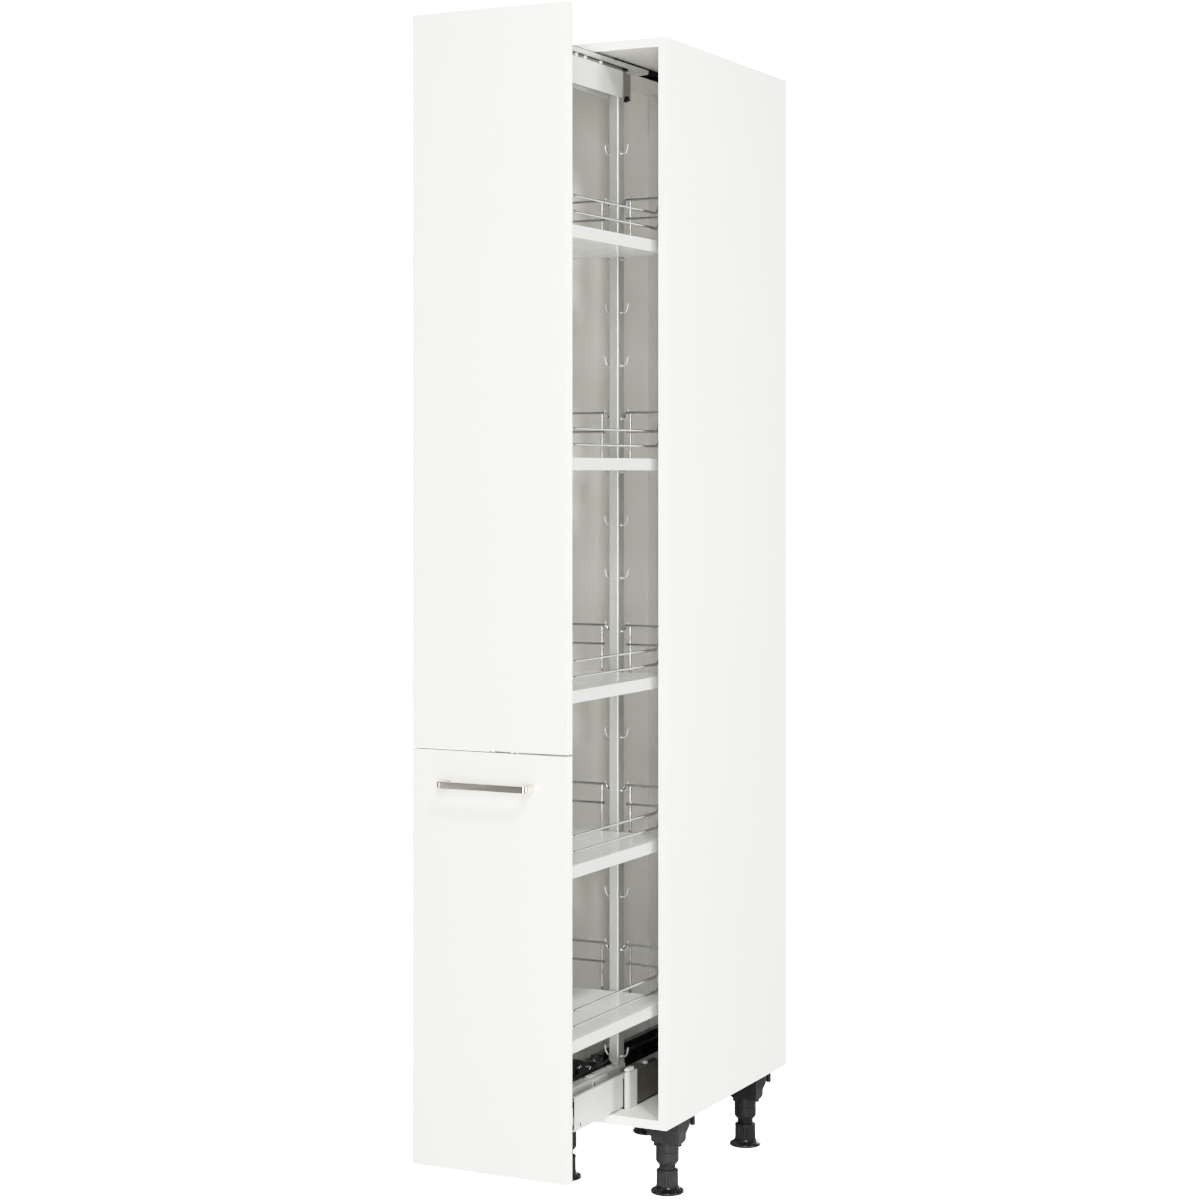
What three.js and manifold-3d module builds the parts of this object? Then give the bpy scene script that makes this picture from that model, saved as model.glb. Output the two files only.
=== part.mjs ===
// Pull-out larder unit: a tall, narrow kitchen cabinet on four levelling feet,
// with a split front that pulls out a frame carrying five hooked-in shelves.
// Millimetres, +Z up, +X to the right seen from the front, the front faces -Y.
// Construction datum: X = 0 on the centre line, Y = 0 at the front edges of the
// carcase panels, Z = 0 at the floor. The last group moves the datum to the
// middle of the footprint.

import * as THREE from 'three';
import { mergeVertices } from 'three/addons/utils/BufferGeometryUtils.js';
import Module from 'manifold-3d';

const wasm = await Module();
wasm.setup();

// ---------------------------------------------------------------- dimensions
const WIDTH = 300;            // carcase width
const DEPTH = 560;            // carcase depth
const CARCASE_H = 1950;       // carcase height, feet left out
const FOOT_H = 140;           // floor to underside of the carcase
const PANEL = 16;             // carcase panel thickness
const GAP = 0.3;              // gap kept between touching pieces

const BACK_Y = 521;           // front face of the back panel
const BACK_T = 8;             // back panel thickness
const RAIL_H = 90;            // rear stretcher height

const DOOR_W = 297;           // front width
const DOOR_T = 16;            // front thickness
const LOWER_DOOR_H = 705;     // lower front height
const DOOR_GAP = 3;           // joint between the two fronts
const OPEN_Y = 380;           // front face of the fronts, ahead of the carcase edge

const HANDLE_HALF = 86;       // half of the handle's overall length
const HANDLE_Z = 650;         // handle centre above the carcase underside
const HANDLE_H = 11;          // handle section height
const HANDLE_OUT = 32;        // handle projection from the front
const HANDLE_BAR_T = 9;       // bar thickness
const HANDLE_BEND = 9;        // outer radius of the two bends
const HANDLE_LEG_W = 12;      // leg width
const HANDLE_PITCH = 160;     // screw spacing

const POST_W = 20;            // post section across
const POST_D = 25;            // post section front to back
const POST_WALL = 1.5;        // post wall
const REAR_POST_Y = 91;       // front face of the rear post
const FRONT_POST_Y = -345;    // front face of the front post
const POST_Z0 = 82;           // post foot, above the carcase underside
const POST_Z1 = 1900;         // post head
const HOOK_TOP = 1761.4;      // highest hook valley
const HOOK_PITCH = 97.87;     // hook spacing
const HOOK_COUNT = 18;        // hooks per side of a post
const HOOK_R = 1.8;           // hook wire radius
const HOOK_RISE = 17.6;       // tip above valley

const SHELF_LEVELS = [1, 5, 9, 12, 15]; // hook level of each shelf, from the top
const SHELF_DROP = 73.6;      // shelf top below its hook valley
const SHELF_HALF = 120;       // shelf half width
const SHELF_T = 21;           // shelf board thickness
const SHELF_Y0 = -315;        // shelf front edge
const SHELF_Y1 = 86;          // shelf rear edge

const WIRE_R = 2.25;          // gallery wire radius
const RAIL_X = 118;           // side rails, centre from the centre line
const RAIL_LOW = 22;          // lower side rail above the shelf
const RAIL_UP = 49;           // upper side rail above the shelf
const REAR_LOW = 50;          // lower rear rail above the shelf
const REAR_UP = 85;           // upper rear rail above the shelf
const REAR_WIRE_Y = 98;       // plane of the rear rails
const FRONT_WIRE_Y = -308;    // plane of the front rails
const UPRIGHT_X = 29;         // uprights beside the posts
const PIN_X = 15.5;           // hanging pin, from the centre line
const PIN_Z = 77.95;          // hanging pin above the shelf

const PIN_SIDE_X = 104;       // pins into the shelf's rear edge
const PIN_SIDE_Z = -5;        // their height against the shelf top
const PIN_HOLE_R = 2.65;      // blind holes for the wire pins

const BEAM_Y1 = 139;          // rear end of the top beam
const BEAM_Z0 = 1864;         // underside of the top beam
const BEAM_Z1 = 1914;         // top of the top beam

const FIX_Y0 = 66;            // front end of the fixed bottom rails
const FIX_Y1 = 516;           // rear end of the fixed bottom rails
const FIX_X1 = 50;            // outer face of the fixed bottom rails
const FIX_Z1 = 82;            // top of the fixed bottom rails
const MID_X = 40;             // outer face of the middle runner
const MID_Y0 = -143;          // front end of the middle runner
const MID_Y1 = 297;           // rear end of the middle runner
const CARR_Y0 = -360;         // front end of the carriage
const CARR_Y1 = 118;          // rear end of the carriage

const FOOT_X = 105;           // foot centre from the centre line
const FOOT_YF = 100;          // front feet
const FOOT_YR = 460;          // rear feet

// ------------------------------------------------------------------- helpers
const Z0 = FOOT_H;                       // underside of the carcase
const ZT = FOOT_H + CARCASE_H;           // top of the carcase

function signedVolume(g) {
  const p = g.attributes.position, ix = g.index;
  const n = ix ? ix.count : p.count;
  const a = new THREE.Vector3(), b = new THREE.Vector3(), c = new THREE.Vector3();
  let v = 0;
  for (let i = 0; i < n; i += 3) {
    a.fromBufferAttribute(p, ix ? ix.getX(i) : i);
    b.fromBufferAttribute(p, ix ? ix.getX(i + 1) : i + 1);
    c.fromBufferAttribute(p, ix ? ix.getX(i + 2) : i + 2);
    v += a.dot(b.cross(c)) / 6;
  }
  return v;
}

// closed, merged, outward-facing copy with only positions
function clean(g0) {
  let g = g0.clone();
  for (const k of Object.keys(g.attributes)) if (k !== 'position') g.deleteAttribute(k);
  g = mergeVertices(g, 1e-4);
  const src = g.index.array, keep = [];
  for (let i = 0; i < src.length; i += 3) {
    const [a, b, c] = [src[i], src[i + 1], src[i + 2]];
    if (a !== b && b !== c && c !== a) keep.push(a, b, c);
  }
  g.setIndex(keep);
  if (signedVolume(g) < 0) {
    const ix = g.index.array;
    for (let i = 0; i < ix.length; i += 3) { const t = ix[i]; ix[i] = ix[i + 1]; ix[i + 1] = t; }
  }
  return g;
}

function solid(g0) {
  const g = clean(g0);
  return new wasm.Manifold(new wasm.Mesh({
    numProp: 3,
    vertProperties: new Float32Array(g.attributes.position.array),
    triVerts: new Uint32Array(g.index.array),
  }));
}

function fromSolid(m) {
  const mesh = m.getMesh();
  const g = new THREE.BufferGeometry();
  g.setAttribute('position', new THREE.BufferAttribute(new Float32Array(mesh.vertProperties), 3));
  g.setIndex(new THREE.BufferAttribute(new Uint32Array(mesh.triVerts), 1));
  return g;
}

const join = (list) => fromSolid(list.slice(1).reduce((m, g) => m.add(solid(g)), solid(list[0])));
const cut = (body, tools) => fromSolid(tools.reduce((m, g) => m.subtract(solid(g)), solid(body)));
const common = (a, b) => fromSolid(solid(a).intersect(solid(b)));

// box between two corners
function box(x0, x1, y0, y1, z0, z1) {
  const g = new THREE.BoxGeometry(x1 - x0, y1 - y0, z1 - z0);
  g.translate((x0 + x1) / 2, (y0 + y1) / 2, (z0 + z1) / 2);
  return g;
}

// outline in X-Z pulled along Y from y0 to y1
function alongY(pts, y0, y1, holes = []) {
  const s = new THREE.Shape(pts.map(([x, z]) => new THREE.Vector2(x, -z)));
  for (const h of holes) s.holes.push(new THREE.Path(h.map(([x, z]) => new THREE.Vector2(x, -z))));
  const g = new THREE.ExtrudeGeometry(s, { depth: y1 - y0, bevelEnabled: false });
  g.rotateX(-Math.PI / 2);
  g.translate(0, y0, 0);
  return g;
}

// outline in X-Y pulled along Z from z0 to z1
function alongZ(pts, z0, z1, holes = []) {
  const s = new THREE.Shape(pts.map(([x, y]) => new THREE.Vector2(x, y)));
  for (const h of holes) s.holes.push(new THREE.Path(h.map(([x, y]) => new THREE.Vector2(x, y))));
  const g = new THREE.ExtrudeGeometry(s, { depth: z1 - z0, bevelEnabled: false });
  g.translate(0, 0, z0);
  return g;
}

// outline in Y-Z pulled along X from x0 to x1
function alongX(pts, x0, x1) {
  const s = new THREE.Shape(pts.map(([y, z]) => new THREE.Vector2(y, z)));
  const g = new THREE.ExtrudeGeometry(s, { depth: x1 - x0, bevelEnabled: false });
  g.rotateY(Math.PI / 2);
  g.rotateX(Math.PI / 2);
  g.translate(x0, 0, 0);
  return g;
}

function rod(r0, r1, z0, z1, sides = 16) {
  const g = new THREE.CylinderGeometry(r1, r0, z1 - z0, sides);
  g.rotateX(Math.PI / 2);
  g.translate(0, 0, (z0 + z1) / 2);
  return g;
}

// a path through given points, followed exactly
class PointPath extends THREE.Curve {
  constructor(pts) { super(); this.pts = pts; this.n = pts.length - 1; }
  getPoint(t, target = new THREE.Vector3()) {
    const s = Math.min(Math.max(t, 0), 1) * this.n, i = Math.min(Math.floor(s), this.n - 1);
    return target.lerpVectors(this.pts[i], this.pts[i + 1], s - i);
  }
  getSpacedPoints() { return this.pts.map((p) => p.clone()); }
  getUtoTmapping(u) { return u; }
  getTangent(t, target = new THREE.Vector3()) {
    const i = Math.round(t * this.n);
    const a = new THREE.Vector3(), b = new THREE.Vector3();
    if (i > 0) a.subVectors(this.pts[i], this.pts[i - 1]).normalize();
    if (i < this.n) b.subVectors(this.pts[i + 1], this.pts[i]).normalize();
    return target.addVectors(a, b).normalize();
  }
}

// corner points [x, y, z, radius, steps] to a path with rounded corners
function rounded(corners) {
  const P = corners.map((c) => new THREE.Vector3(c[0], c[1], c[2]));
  const out = [P[0]];
  for (let i = 1; i < P.length - 1; i++) {
    const r = corners[i][3] || 0, n = corners[i][4] || 3;
    const d1 = P[i].clone().sub(P[i - 1]).normalize(), d2 = P[i + 1].clone().sub(P[i]).normalize();
    const th = Math.acos(THREE.MathUtils.clamp(d1.dot(d2), -1, 1));
    if (r <= 0 || th < 1e-3) { out.push(P[i]); continue; }
    const t = r * Math.tan(th / 2);
    const a = P[i].clone().addScaledVector(d1, -t);
    const side = d2.clone().addScaledVector(d1, -d1.dot(d2)).normalize();
    const c = a.clone().addScaledVector(side, r);
    for (let k = 0; k <= n; k++) {
      const f = (th * k) / n;
      out.push(c.clone().addScaledVector(side, -r * Math.cos(f)).addScaledVector(d1, r * Math.sin(f)));
    }
  }
  out.push(P[P.length - 1]);
  return out;
}

function wire(corners, r, sides = 5) {
  const pts = rounded(corners);
  const ring = [];
  for (let k = 0; k < sides; k++) {
    const a = ((k + 0.5) / sides) * Math.PI * 2;
    ring.push(new THREE.Vector2(r * Math.cos(a), r * Math.sin(a)));
  }
  return new THREE.ExtrudeGeometry(new THREE.Shape(ring), {
    steps: pts.length - 1, extrudePath: new PointPath(pts), curveSegments: 1,
  });
}

const mirrorX = (g0) => { const g = g0.clone(); g.scale(-1, 1, 1); return clean(g); };

// ----------------------------------------------------------------- materials
const mat = (hex, roughness, metalness = 0) => new THREE.MeshStandardMaterial({ color: hex, roughness, metalness });
const FRONT_WHITE = () => mat(0xf4f3ee, 0.22);
const PANEL_WHITE = () => mat(0xefeeea, 0.5);
const BOARD_WHITE = () => mat(0xe9e9e5, 0.35);
const LIGHT_GREY = () => mat(0xcfd0cc, 0.45, 0.1);
const ZINC = () => mat(0xb9bab6, 0.35, 0.9);
const CHROME = () => mat(0xd5d6d4, 0.12, 1.0);
const STEEL = () => mat(0x9b9790, 0.35, 1.0);
const BLACK_STEEL = () => mat(0x1c1c1b, 0.45, 0.3);
const DARK_PLASTIC = () => mat(0x454545, 0.6);
const BLACK_PLASTIC = () => mat(0x151515, 0.5);
const WHITE_PLASTIC = () => mat(0xeeeeea, 0.4);

function piece(parent, name, geometry, material) {
  const g = clean(geometry);
  g.computeVertexNormals();
  const m = new THREE.Mesh(g, material);
  m.name = name;
  parent.add(m);
  return m;
}

const unit = new THREE.Group();

// ------------------------------------------------------------------- carcase
const carcase = new THREE.Group();
carcase.position.z = Z0;
unit.add(carcase);

const HW = WIDTH / 2, IN = HW - PANEL;
piece(carcase, 'side_panel_left', box(-HW, -IN, 0, DEPTH, 0, CARCASE_H), PANEL_WHITE());
piece(carcase, 'side_panel_right', box(IN, HW, 0, DEPTH, 0, CARCASE_H), PANEL_WHITE());
piece(carcase, 'top_panel', box(-IN + GAP, IN - GAP, 0, DEPTH, CARCASE_H - PANEL, CARCASE_H), PANEL_WHITE());
piece(carcase, 'bottom_panel', box(-IN + GAP, IN - GAP, 0, DEPTH, 0, PANEL), PANEL_WHITE());
piece(carcase, 'back_panel', box(-IN + GAP, IN - GAP, BACK_Y, BACK_Y + BACK_T, PANEL + GAP, CARCASE_H - PANEL - GAP), PANEL_WHITE());
piece(carcase, 'rear_stretcher_top', box(-IN + GAP, IN - GAP, DEPTH - PANEL, DEPTH, CARCASE_H - PANEL - GAP - RAIL_H, CARCASE_H - PANEL - GAP), PANEL_WHITE());
piece(carcase, 'rear_stretcher_bottom', box(-IN + GAP, IN - GAP, DEPTH - PANEL, DEPTH, PANEL + GAP, PANEL + GAP + RAIL_H), PANEL_WHITE());

// ---------------------------------------------------------------------- feet
// socket: plate under the panel, gusseted block and a tube with a plain bore;
// local zero at the foot's axis and the panel's underside
function socketGeometry() {
  const plate = box(-27, 41, -95, 48, -2.3, -GAP);
  const fromFront = alongY([[-12, -45], [36, -45], [36, -2.2], [-50, -2.2], [-31, -23], [-19, -33.5], [-19, -41], [-14, -43]], -30, 23);
  const fromSide = alongX([[-30, -45], [-14, -45], [3, -40], [4, -29], [18, -20], [23, -9], [23, -2.2], [-30, -2.2]], -50, 36);
  const block = common(fromFront, fromSide);
  const clipA = box(-14, -4, -29, -23, -50, -42);
  const clipB = box(29, 35, -20, -12, -49, -42);
  const tube = rod(21, 21, -78, -30, 20);
  const lip = rod(17, 21, -86.5, -78, 20);
  const peg = rod(4.75, 4.75, -21, -2.2, 10); peg.translate(35, 34, 0);
  const bore = rod(15.2, 15.2, -100, -44, 20);
  return cut(join([block, plate, clipA, clipB, tube, lip, peg]), [bore]);
}
// foot: round base, sleeve and neck; local zero on the floor
function footGeometry() {
  const base = [[0, 0], [28, 0], [29, 1.2], [29, 5], [27.5, 6.6], [22, 10.6], [20, 13.4]];
  const top = [[20, 41.2], [18.8, 42.6], [14.6, 42.6], [14.6, 82.5], [13.2, 84], [0, 84]];
  const profile = base.concat(top).map(([r, z]) => new THREE.Vector2(r, z));
  const g = new THREE.LatheGeometry(profile, 16);
  g.rotateX(Math.PI / 2);
  return g;
}
const socketR = socketGeometry(), socketL = mirrorX(socketR);
const footBody = footGeometry();
const feet = new THREE.Group();
unit.add(feet);
for (const [tag, sx, y] of [['front_left', -1, FOOT_YF], ['front_right', 1, FOOT_YF], ['rear_left', -1, FOOT_YR], ['rear_right', 1, FOOT_YR]]) {
  const s = piece(feet, 'foot_socket_' + tag, sx > 0 ? socketR : socketL, DARK_PLASTIC());
  s.position.set(sx * FOOT_X, y, Z0);
  const f = piece(feet, 'foot_' + tag, footBody, DARK_PLASTIC());
  f.position.set(sx * FOOT_X, y, 0);
}

// ------------------------------------------------------ fixed runner, bottom
const runner = new THREE.Group();
runner.position.z = Z0;
unit.add(runner);

const W = 1.5;
const fixedR = alongY([
  [24, FIX_Z1], [FIX_X1, FIX_Z1], [FIX_X1, PANEL + GAP], [41.5, PANEL + GAP], [41.5, PANEL + GAP + W],
  [FIX_X1 - W, PANEL + GAP + W], [FIX_X1 - W, FIX_Z1 - W], [24, FIX_Z1 - W],
], FIX_Y0, FIX_Y1);
piece(runner, 'fixed_rail_right', fixedR, BLACK_STEEL());
piece(runner, 'fixed_rail_left', mirrorX(fixedR), BLACK_STEEL());
piece(runner, 'runner_floor_plate', alongZ([
  [-41, 60], [-41, 38], [-31, 38], [-27, 60], [27, 60], [31, 38], [41, 38], [41, 60], [41, FIX_Y1], [-41, FIX_Y1],
], PANEL + GAP, PANEL + GAP + W), LIGHT_GREY());

const capBody = alongZ([
  [41.5, 48], [42.7, 48], [46.2, 48.8], [49, 50.6], [51, 53.6], [51.7, 57], [51.7, 84], [41.5, 84],
], PANEL + GAP, FIX_Z1 + 1.2);
const capNotch = box(30, 50.3, FIX_Y0 - GAP, 90, 0, FIX_Z1 + GAP);
const capR = cut(capBody, [capNotch]);
piece(runner, 'end_cap_right', capR, LIGHT_GREY());
piece(runner, 'end_cap_left', mirrorX(capR), LIGHT_GREY());
const knobR = alongX([[53, 0], [78, 0], [78, 3], [75.8, 4.8], [72.5, 5.6], [58.5, 5.6], [55.2, 4.8], [53, 3]], 40.5, 49.5);
knobR.translate(0, 0, FIX_Z1 + 1.2 + GAP);
piece(runner, 'cap_button_right', knobR, WHITE_PLASTIC());
piece(runner, 'cap_button_left', mirrorX(knobR), WHITE_PLASTIC());
piece(runner, 'damper_striker', alongX([[380, 0], [404, 0], [404, 0.9], [402, 1.3], [382, 1.3], [380, 0.9]], -34, -26).translate(0, 0, FIX_Z1 + GAP), ZINC());

// --------------------------------------------------------- fixed runner, top
const TZ = CARCASE_H - PANEL;             // underside of the top panel
piece(runner, 'top_fixed_rail', alongY([
  [-12, TZ - GAP], [12, TZ - GAP], [12, TZ - 11.5], [10.4, TZ - 11.5], [10.4, TZ - 1.9], [-10.4, TZ - 1.9], [-10.4, TZ - 11.5], [-12, TZ - 11.5],
], 78, 505), BLACK_STEEL());

// ------------------------------------------------------------ middle runners
const middle = new THREE.Group();
middle.position.z = Z0;
unit.add(middle);
piece(middle, 'middle_runner', alongY([
  [-MID_X, 19], [MID_X, 19], [MID_X, 79.5], [34, 79.5], [34, 78], [MID_X - W, 78], [MID_X - W, 21], [-MID_X + W, 21],
  [-MID_X + W, 78], [-34, 78], [-34, 79.5], [-MID_X, 79.5],
], MID_Y0, MID_Y1), LIGHT_GREY());
piece(middle, 'top_middle_rail', join([
  alongY([
    [-14.5, TZ - 4.6], [-13, TZ - 4.6], [-13, TZ - 12.3], [13, TZ - 12.3], [13, TZ - 4.6], [14.5, TZ - 4.6], [14.5, TZ - 13.8], [-14.5, TZ - 13.8],
  ], -175, 211),
  alongY([[2, TZ - 13], [2, TZ - 15.5], [5, TZ - 15.5], [5, TZ - 17], [-5, TZ - 17], [-5, TZ - 15.5], [-2, TZ - 15.5], [-2, TZ - 13]], -175, 139),
]), ZINC());

// --------------------------------------------------------------- pull-out
const pull = new THREE.Group();
pull.position.z = Z0;
unit.add(pull);
const DF = -OPEN_Y, DB = -OPEN_Y + DOOR_T;  // front and back face of the fronts
const dw = DOOR_W / 2;

piece(pull, 'upper_front', box(-dw, dw, DF, DB, LOWER_DOOR_H + DOOR_GAP, CARCASE_H), FRONT_WHITE());
const screwX = HANDLE_PITCH / 2;
const drill = (x, r, y0, y1) => { const g = rod(r, r, y0, y1, 12); g.rotateX(-Math.PI / 2); g.translate(x, 0, HANDLE_Z); return g; };
piece(pull, 'lower_front', cut(box(-dw, dw, DF, DB, 0, LOWER_DOOR_H), [
  drill(-screwX, 2.5, DF - 1, DB + 1), drill(screwX, 2.5, DF - 1, DB + 1),
]), FRONT_WHITE());

// handle: one flat bar bent back at both ends
const arc = (cx, cy, r, a0, a1, n = 4) => Array.from({ length: n + 1 }, (_, k) => {
  const a = ((a0 + ((a1 - a0) * k) / n) * Math.PI) / 180; return [cx + r * Math.cos(a), cy + r * Math.sin(a)];
});
const HB = HANDLE_BEND;
const hOut = DF - HANDLE_OUT, hIn = hOut + HANDLE_BAR_T, hl = HANDLE_HALF, hi = HANDLE_HALF - HANDLE_LEG_W;
const handleOutline = [[-hl, DF - GAP], [-hi, DF - GAP], ...arc(-hi + 3, hIn + 3, 3, 180, 270), ...arc(hi - 3, hIn + 3, 3, 270, 360),
  [hi, DF - GAP], [hl, DF - GAP], ...arc(hl - HB, hOut + HB, HB, 0, -90, 6), ...arc(-hl + HB, hOut + HB, HB, -90, -180, 6)];
piece(pull, 'handle', cut(alongZ(handleOutline, HANDLE_Z - HANDLE_H / 2, HANDLE_Z + HANDLE_H / 2), [
  drill(-screwX, 2.4, DF - 14, DF + 1), drill(screwX, 2.4, DF - 14, DF + 1),
]), STEEL());
const screwProfile = [[0, 0], [2, 0], [2, 25.7], [4.2, 25.7], [4.2, 27.2], [3, 28.6], [0, 28.6]].map(([r, z]) => new THREE.Vector2(r, z));
for (const [tag, x] of [['left', -screwX], ['right', screwX]]) {
  const g = new THREE.LatheGeometry(screwProfile, 10);
  const m = piece(pull, 'handle_screw_' + tag, g, ZINC());
  m.position.set(x, DB + GAP - 25.7, HANDLE_Z);
}

// posts: rectangular tube with a row of J hooks on each side
function postGeometry() {
  const a = POST_W / 2, b = POST_D / 2, w = POST_WALL, c = 2;
  const outer = [[-a + c, -b], [a - c, -b], [a, -b + c], [a, b - c], [a - c, b], [-a + c, b], [-a, b - c], [-a, -b + c]];
  const inner = [[-a + w, -b + w], [a - w, -b + w], [a - w, b - w], [-a + w, b - w]];
  const tubes = [alongZ(outer, POST_Z0, POST_Z1, [inner])];
  for (let k = 0; k < HOOK_COUNT; k++) {
    const z = HOOK_TOP - k * HOOK_PITCH;
    const path = [[a - 1, 0, z], [a + 8.6, 0, z], [a + 11.8, 0, z + 5], [a + 14, 0, z + HOOK_RISE]];
    tubes.push(wire(path, HOOK_R, 4));
    tubes.push(wire(path.map(([x, ...r]) => [-x, ...r]), HOOK_R, 4));
  }
  return join(tubes);
}
const post = postGeometry();
piece(pull, 'rear_post', post, ZINC()).position.set(0, REAR_POST_Y + POST_D / 2, 0);
piece(pull, 'front_post', post, ZINC()).position.set(0, FRONT_POST_Y + POST_D / 2, 0);

// angle brackets between the front post and the fronts
[['lower_1', 15], ['lower_2', 12], ['upper_1', 9], ['upper_2', 6], ['upper_3', 1]].forEach(([tag, k]) => {
  const z = HOOK_TOP - k * HOOK_PITCH - 40;
  piece(pull, 'front_bracket_' + tag, alongZ([
    [POST_W / 2 + GAP, DB + GAP], [48, DB + GAP], [48, DB + GAP + 2], [POST_W / 2 + GAP + 2, DB + GAP + 2],
    [POST_W / 2 + GAP + 2, FRONT_POST_Y + 20], [POST_W / 2 + GAP, FRONT_POST_Y + 20],
  ], z - 25, z + 25), ZINC());
});

// top beam, its guide rail and the clamp at its rear end
piece(pull, 'top_beam', alongY([
  [-12.5, BEAM_Z0], [-12.5, BEAM_Z1], [12.5, BEAM_Z1], [12.5, BEAM_Z0], [11, BEAM_Z0], [11, BEAM_Z1 - 1.5], [-11, BEAM_Z1 - 1.5], [-11, BEAM_Z0],
], CARR_Y0, BEAM_Y1), LIGHT_GREY());
piece(pull, 'top_inner_rail', alongY([
  [-10, BEAM_Z1 + GAP], [-10, TZ - 14.1], [-3, TZ - 14.1], [-3, TZ - 15.2], [-8.6, TZ - 15.2], [-8.6, TZ - 18.3], [8.6, TZ - 18.3],
  [8.6, TZ - 15.2], [3, TZ - 15.2], [3, TZ - 14.1], [10, TZ - 14.1], [10, BEAM_Z1 + GAP],
], -357, 139), ZINC());
piece(pull, 'beam_clamp', join([
  box(-7.2, 7.2, 118.5, 127, BEAM_Z0 - 1, BEAM_Z0 + 22),
  box(4, 10.5, 122, 133, BEAM_Z0 - 6, BEAM_Z0 - 0.3),
]), BLACK_PLASTIC());

// carriage: box spine with side wings that run inside the middle runner
piece(pull, 'carriage', alongY([
  [-11, 81.7], [-11, 32], [-34.5, 32], [-34.5, 60], [-36, 60], [-36, 30], [36, 30], [36, 60], [34.5, 60], [34.5, 32], [11, 32], [11, 81.7],
], CARR_Y0, CARR_Y1, [[[-9, 79.7], [9, 79.7], [9, 32], [-9, 32]]]), ZINC());

// damper unit on the carriage, left of the spine
piece(pull, 'soft_close_unit', join([
  box(-34, -12.5, -95, 85, 84, 91),
  box(-21, -11.3, -80, 70, 66, 85),
  alongX([[-8, 90], [-2, 98], [8, 106], [24, 111], [46, 112], [62, 108], [74, 98], [80, 90]], -31, -14),
  alongX([[-92, 90], [-90, 99], [-70, 103], [-34, 104], [-24, 100], [-20, 90]], -29, -17),
]), BLACK_PLASTIC());

// ------------------------------------------------------------------- shelves
function galleryGeometry() {
  const X = RAIL_X, Y = REAR_WIRE_Y, YF = FRONT_WIRE_Y, rc = 20, rf = 10;
  const half = (s) => [
    [s * PIN_X, Y + 12, PIN_Z], [s * PIN_X, Y, PIN_Z, 3, 1], [s * (PIN_X + 5), Y, REAR_UP, 4, 1], [s * X, Y, REAR_UP, rc, 4],
    [s * X, 55, REAR_UP, 8, 1], [s * X, 25, RAIL_UP, 8, 1], [s * X, YF, RAIL_UP, rf, 2],
  ];
  const low = (s) => [
    [s * 22, Y, REAR_LOW], [s * X, Y, REAR_LOW, rc, 4], [s * X, 55, REAR_LOW, 8, 1], [s * X, 27, RAIL_LOW, 8, 1], [s * X, YF, RAIL_LOW, rf, 2],
  ];
  const loop = (f) => f(1).concat(f(-1).reverse());
  const parts = [wire(loop(half), WIRE_R), wire(loop(low), WIRE_R)];
  for (const s of [1, -1]) {
    const u = s * UPRIGHT_X;
    parts.push(wire([[s * 14.2, Y, PIN_SIDE_Z], [s * PIN_SIDE_X, Y, PIN_SIDE_Z, 5, 1], [s * PIN_SIDE_X, SHELF_Y1 - 12, PIN_SIDE_Z]], WIRE_R));
    parts.push(wire([[u, Y, REAR_UP], [u, Y, PIN_SIDE_Z]], 2));
    parts.push(wire([[u, YF, -10], [u, YF, PIN_Z, 5, 1], [s * PIN_X, YF, PIN_Z, 4, 1], [s * PIN_X, YF - 33, PIN_Z]], WIRE_R));
  }
  return join(parts);
}
const gallery = galleryGeometry();
const pinHole = (x, y, z, axis, r = PIN_HOLE_R) => {
  const g = axis === 'z' ? rod(r, r, -10.4, 1, 12) : rod(r, r, -12.4, 1, 12);
  if (axis === 'y') g.rotateX(-Math.PI / 2);
  return g.translate(x, y, z);
};
const board = cut(box(-SHELF_HALF, SHELF_HALF, SHELF_Y0, SHELF_Y1, -SHELF_T, 0), [1, -1].flatMap((s) => [
  pinHole(s * UPRIGHT_X, FRONT_WIRE_Y, 0, 'z'), pinHole(s * PIN_SIDE_X, SHELF_Y1, PIN_SIDE_Z, 'y'),
]));
SHELF_LEVELS.forEach((k, i) => {
  const shelf = new THREE.Group();
  shelf.position.z = HOOK_TOP - k * HOOK_PITCH - SHELF_DROP;
  pull.add(shelf);
  piece(shelf, 'shelf_board_' + (i + 1), board, BOARD_WHITE());
  piece(shelf, 'shelf_gallery_' + (i + 1), gallery, CHROME());
});

// -------------------------------------------------- datum at the footprint
const front = DF - HANDLE_OUT;
unit.position.y = -(front + DEPTH) / 2;

const larder = new THREE.Group();
larder.add(unit);
larder.updateMatrixWorld(true);

export default larder;
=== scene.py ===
import math

import bmesh
import bpy
from mathutils import Matrix, Vector


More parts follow.
